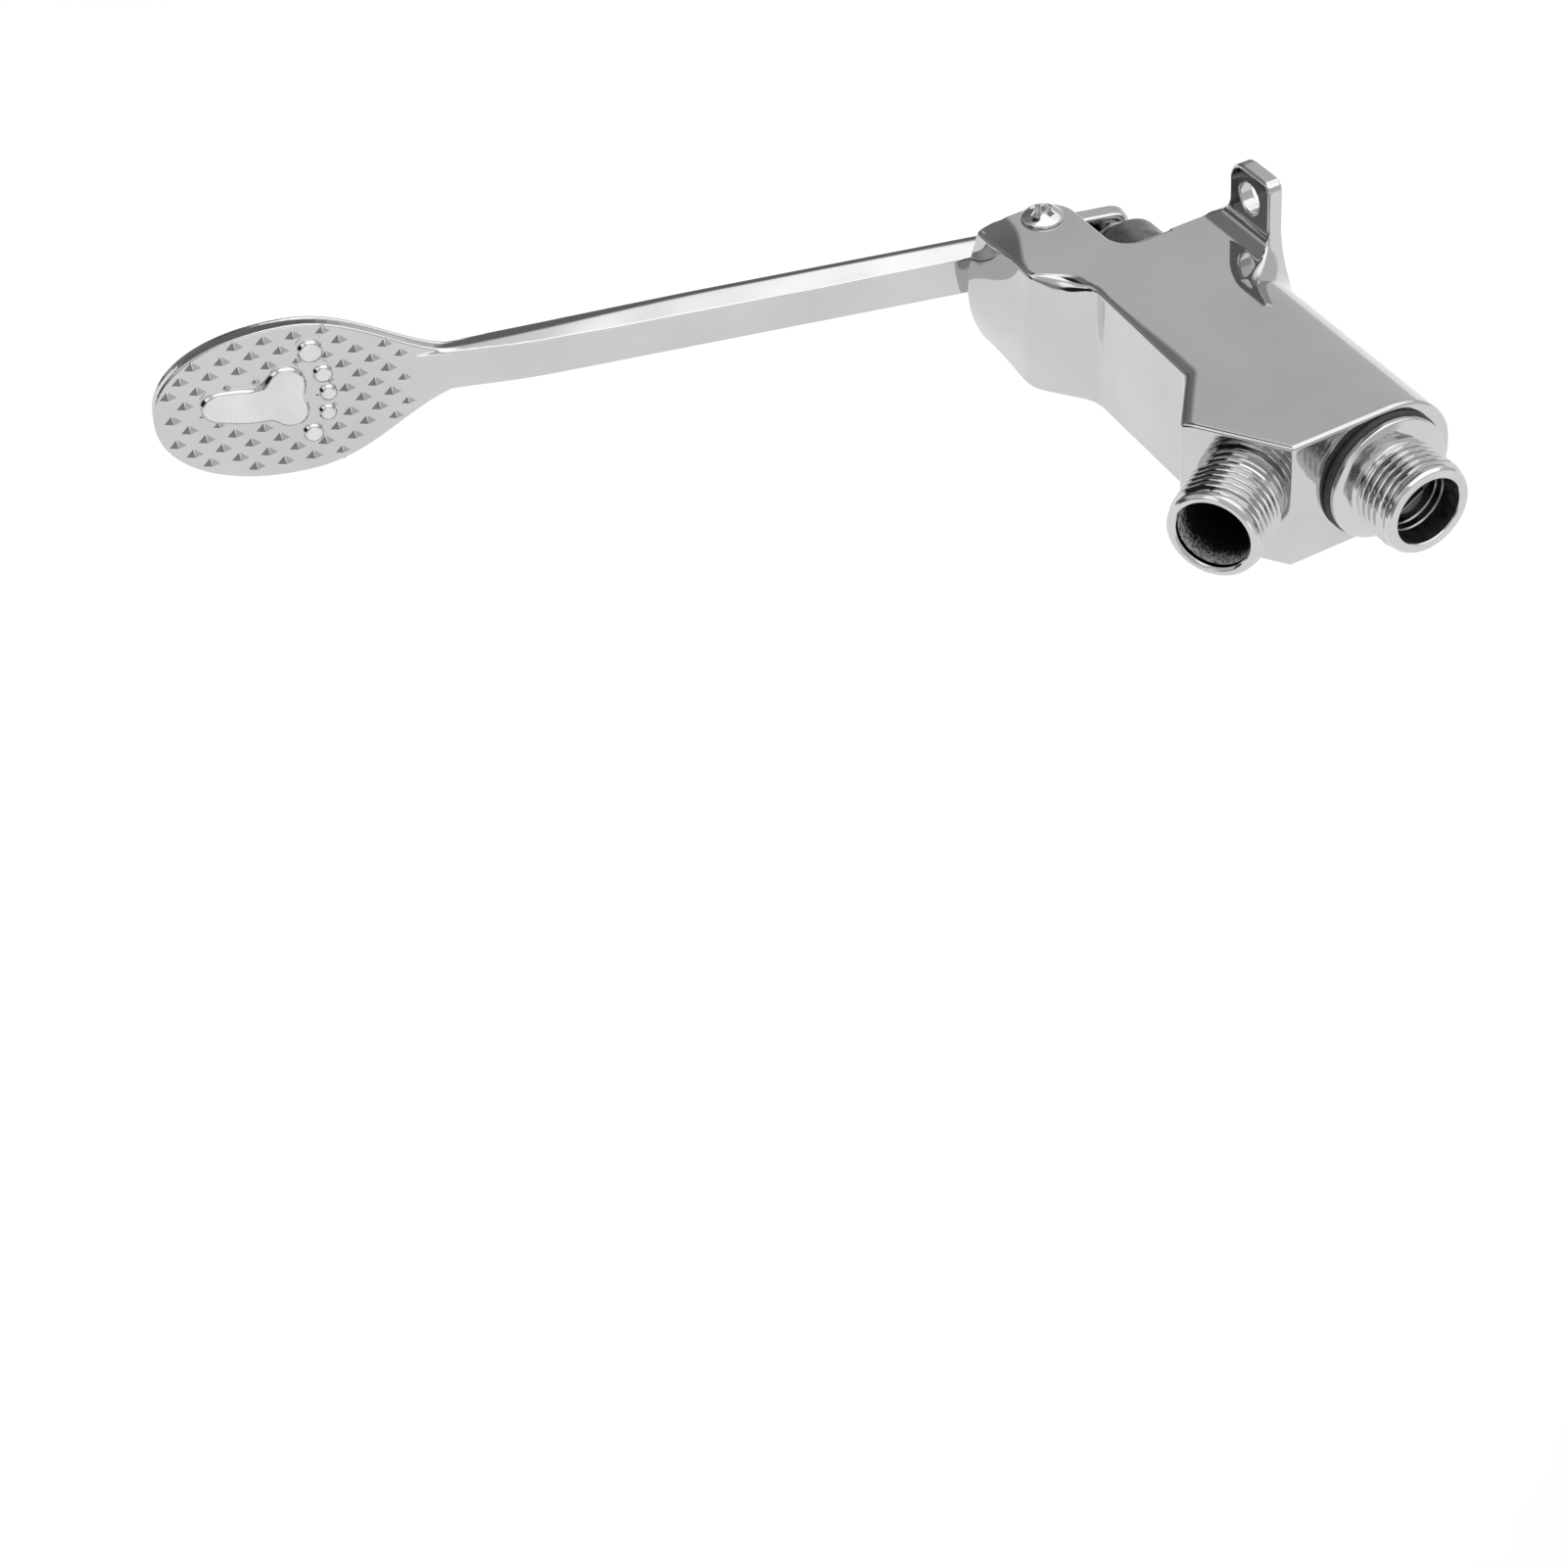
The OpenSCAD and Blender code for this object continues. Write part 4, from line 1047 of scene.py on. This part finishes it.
def screw_field(u, w, h):
    """Pan-head screw with a cross recess; h is the height over the cheek."""
    rise = HEAD_H - RIM_H
    dome_r = (HEAD_R ** 2 + rise ** 2) / (2 * rise)
    radius = np.hypot(u, w)
    dome = np.sqrt(radius ** 2 + (h - HEAD_H + dome_r) ** 2) - dome_r
    wall = radius - HEAD_R + RIM_DRAFT * np.clip(RIM_H - h, 0, RIM_H)
    head = round_and(round_and(wall, dome, HEAD_EDGE_R), -h, HEAD_FOOT_R)
    shank = np.maximum(radius - SCREW_R, between(h, SHANK_SHORT - 2 * HALF_W, SHANK_LAP))
    sunk = np.clip(HEAD_H - h, 0, WING_TAPER_DEPTH)
    wings = []
    for across, along in ((u, w), (w, u)):
        half_w = WING_HALF_W - WING_TAPER_W * sunk
        half_len = WING_HALF_LEN - WING_TAPER_LEN * sunk
        wings.append(np.maximum(np.abs(across) - half_w, np.abs(along) - half_len))
    cross = np.maximum(soft_or(*wings, WING_BLEND), HEAD_H - CROSS_DEPTH - h)
    return np.minimum(round_and(head, -cross, CROSS_EDGE_R), shank)


def add_screw():
    """The pivot screw, put in from the near side."""
    low = (-HEAD_R - 0.5, -HEAD_R - 0.5, 1 - 2 * HALF_W)
    high = (HEAD_R + 0.5, HEAD_R + 0.5, HEAD_H + 0.5)
    points, quads, normals = field_mesh(screw_field, low, high, SCREW_STEP)
    stand = Matrix.Rotation(math.radians(90), 4, "X") @ Matrix.Rotation(SCREW_TURN, 4, "Z")
    place = Matrix.Translation((PIVOT_X * MM, -HALF_W * MM, PIVOT_Z * MM)) @ stand
    normals = normals @ np.array(stand.to_3x3()).T
    screw = add_piece("pan_head_screw", points, quads, "valve",
                      FINISHES["bright_steel"], normals, place)
    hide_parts("pivot_screw")


def add_spring():
    """Round wire wound into the return spring."""
    sides, rings = WIRE_SIDES, SPRING_TURNS * RINGS_PER_TURN
    share = np.linspace(0, 1, rings + 1)[:, None]
    turn = 2 * math.pi * SPRING_TURNS * share
    wire = full_turn(sides)[None, :]
    out = SPRING_R + SPRING_WIRE_R * np.cos(wire)
    rise = SPRING_FOOT + SPRING_WIRE_R + (SPRING_HEAD - SPRING_FOOT - 2 * SPRING_WIRE_R) * share
    points = np.stack([
        VALVE_X + out * np.cos(turn), out * np.sin(turn), rise + SPRING_WIRE_R * np.sin(wire),
    ], axis=-1).reshape(-1, 3)
    here = np.arange(rings)[:, None] * sides
    k = np.arange(sides)[None, :]
    k_next = (k + 1) % sides
    ahead = here + sides
    quads = np.stack([here + k, ahead + k, ahead + k_next, here + k_next], axis=-1).reshape(-1, 4)
    foot, head = list(range(sides)), list(range(rings * sides, (rings + 1) * sides))[::-1]
    mesh = bpy.data.meshes.new("wound_spring")
    mesh.from_pydata((points * MM).tolist(), [], quads.tolist() + [foot, head])
    mesh.polygons.foreach_set("use_smooth", np.ones(len(mesh.polygons), bool))
    mesh.materials.append(FINISHES["spring_steel"])
    spring = bpy.data.objects.new("wound_spring", mesh)
    bpy.context.scene.collection.objects.link(spring)
    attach(spring, "valve")
    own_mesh(spring)
    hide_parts("return_spring")


def dress_frame_nodes():
    """Gives the construction's own pieces their finishes and breaks their sharp edges."""
    for part in frame["record"]["subparts"]:
        node = frame["nodes"][part["node"]]
        node.data.materials.clear()
        node.data.materials.append(FINISHES[part["material_slot"]])
        if node.hide_render:
            continue
        bevel = node.modifiers.new("broken_edges", "BEVEL")
        bevel.width = EDGE_BREAK * MM
        bevel.segments = 2
        bevel.limit_method = "ANGLE"
        bevel.angle_limit = EDGE_BREAK_ANGLE


# Stage: pale floor, studio surroundings, lamp and camera

FLOOR_Z = -0.25
FLOOR_REACH = 4.0
LAMP_PLACE = (0.1, 0.3, 1.3)
LAMP_TARGET = (0.08, 0.1, -0.2)
LAMP_SIZE = 1.2
LAMP_POWER = 7


def add_floor():
    """A plain pale floor, well below the part."""
    mesh = bpy.data.meshes.new("floor")
    signs = ((-1, -1), (1, -1), (1, 1), (-1, 1))
    corners = [(x * FLOOR_REACH, y * FLOOR_REACH, FLOOR_Z) for x, y in signs]
    mesh.from_pydata(corners, [], [(0, 1, 2, 3)])
    paint = Paint("pale_floor", Roughness=0.9)
    paint.tint(paint.noise(3), (0.9, 0.9, 0.9), (0.93, 0.93, 0.93))
    mesh.materials.append(paint.material)
    floor = bpy.data.objects.new("floor", mesh)
    bpy.context.scene.collection.objects.link(floor)
    floor.visible_glossy = False


# Panels: direction, degrees of full strength, degrees where it fades out, brightness
ROOM_PANELS = [
    ((-0.20, -0.95, 0.10), 39, 46, 1.7),
    ((-0.70, -0.70, -0.10), 13, 24, 1.5),
    ((0.21, -0.67, -0.71), 23, 36, 0.25),
    ((-0.10, -0.20, -0.97), 20, 33, 0.18),
    ((0.80, -0.55, 0.15), 10, 18, 1.4),
    ((0.25, -0.93, -0.25), 10, 16, 0.02),
]
EDGE_PANELS = [
    ((0.98, -0.13, 0.0), 16, 22, 0.02),
    ((0.74, 0.02, 0.67), 14, 24, 0.33),
    ((-0.30, 0.04, 0.95), 10, 20, 0.66),
    ((0.25, 0.0, 0.97), 8, 14, 1.5),
]
TABLE_LIGHT = 1.05
ROOM_LIGHT = 0.68
HORIZON_LIGHT = 0.12
# Soft edges: direction, cosine where the mask starts, cosine where it is full
TABLE_EDGE = ((0, 1, 0), -0.02, 0.08)
HORIZON_TOP = ((0, 1, 0), -0.34, -0.16)
HORIZON_SIDE = ((0.95, 0, -0.3), 0.58, 0.75)


def add_surroundings():
    """White sweep on the far side and a dimmer room on the near side, with soft panels in it."""
    world = bpy.data.worlds.new("studio")
    bpy.context.scene.world = world
    world.use_nodes = True
    nodes, links = world.node_tree.nodes, world.node_tree.links
    direction = nodes.new("ShaderNodeTexCoord").outputs["Generated"]

    def mask(axis, low, high):
        """Share of a direction's view, from 0 to 1 between two cosines to an axis."""
        dot = nodes.new("ShaderNodeVectorMath")
        dot.operation = "DOT_PRODUCT"
        dot.inputs[1].default_value = Vector(axis).normalized()
        links.new(direction, dot.inputs[0])
        step = nodes.new("ShaderNodeMapRange")
        step.interpolation_type = "SMOOTHSTEP"
        step.inputs["From Min"].default_value = low
        step.inputs["From Max"].default_value = high
        links.new(dot.outputs["Value"], step.inputs["Value"])
        return step.outputs["Result"]

    def blend(before, share, value):
        """Brightness so far, taken to a value by a share."""
        mix = nodes.new("ShaderNodeMix")
        mix.inputs["B"].default_value = value
        links.new(share, mix.inputs["Factor"])
        if before is None:
            mix.inputs["A"].default_value = ROOM_LIGHT
        else:
            links.new(before, mix.inputs["A"])
        return mix.outputs["Result"]

    def panel(before, axis, inner, outer, value):
        """A round soft panel round an axis."""
        edge, full = math.cos(math.radians(outer)), math.cos(math.radians(inner))
        return blend(before, mask(axis, edge, full), value)

    level = None
    for sheet in ROOM_PANELS:
        level = panel(level, *sheet)
    band = nodes.new("ShaderNodeMath")
    band.operation = "MULTIPLY"
    links.new(mask(*HORIZON_TOP), band.inputs[0])
    links.new(mask(*HORIZON_SIDE), band.inputs[1])
    level = blend(level, band.outputs["Value"], HORIZON_LIGHT)
    level = blend(level, mask(*TABLE_EDGE), TABLE_LIGHT)
    for sheet in EDGE_PANELS:
        level = panel(level, *sheet)
    links.new(level, nodes["Background"].inputs["Strength"])
    nodes["Background"].inputs["Color"].default_value = (1, 1, 1, 1)


def add_lamp(name, place, target, size, power):
    """A soft square lamp that the chrome does not mirror."""
    data = bpy.data.lights.new(name, "AREA")
    data.size = size
    data.energy = power
    lamp = bpy.data.objects.new(name, data)
    lamp.location = place
    lamp.rotation_euler = (Vector(target) - Vector(place)).to_track_quat("-Z", "Y").to_euler()
    lamp.visible_glossy = False
    bpy.context.scene.collection.objects.link(lamp)


def add_camera():
    """The camera of the photograph."""
    data = bpy.data.cameras.new("camera")
    data.sensor_width = CAMERA_SENSOR
    data.lens = CAMERA_LENS
    camera = bpy.data.objects.new("camera", data)
    turn = Matrix((CAMERA_RIGHT, -CAMERA_DOWN, -CAMERA_AHEAD)).transposed()
    camera.matrix_world = Matrix.Translation(CAMERA_PLACE) @ turn.to_4x4()
    bpy.context.scene.collection.objects.link(camera)
    bpy.context.scene.camera = camera


add_camera()
add_casting()
add_outlet_thread()
add_inlet_adapter()
add_lever()
add_screw()
add_spring()
dress_frame_nodes()
add_floor()
add_surroundings()
add_lamp("top_lamp", LAMP_PLACE, LAMP_TARGET, LAMP_SIZE, LAMP_POWER)
bpy.context.scene.view_settings.view_transform = "Standard"
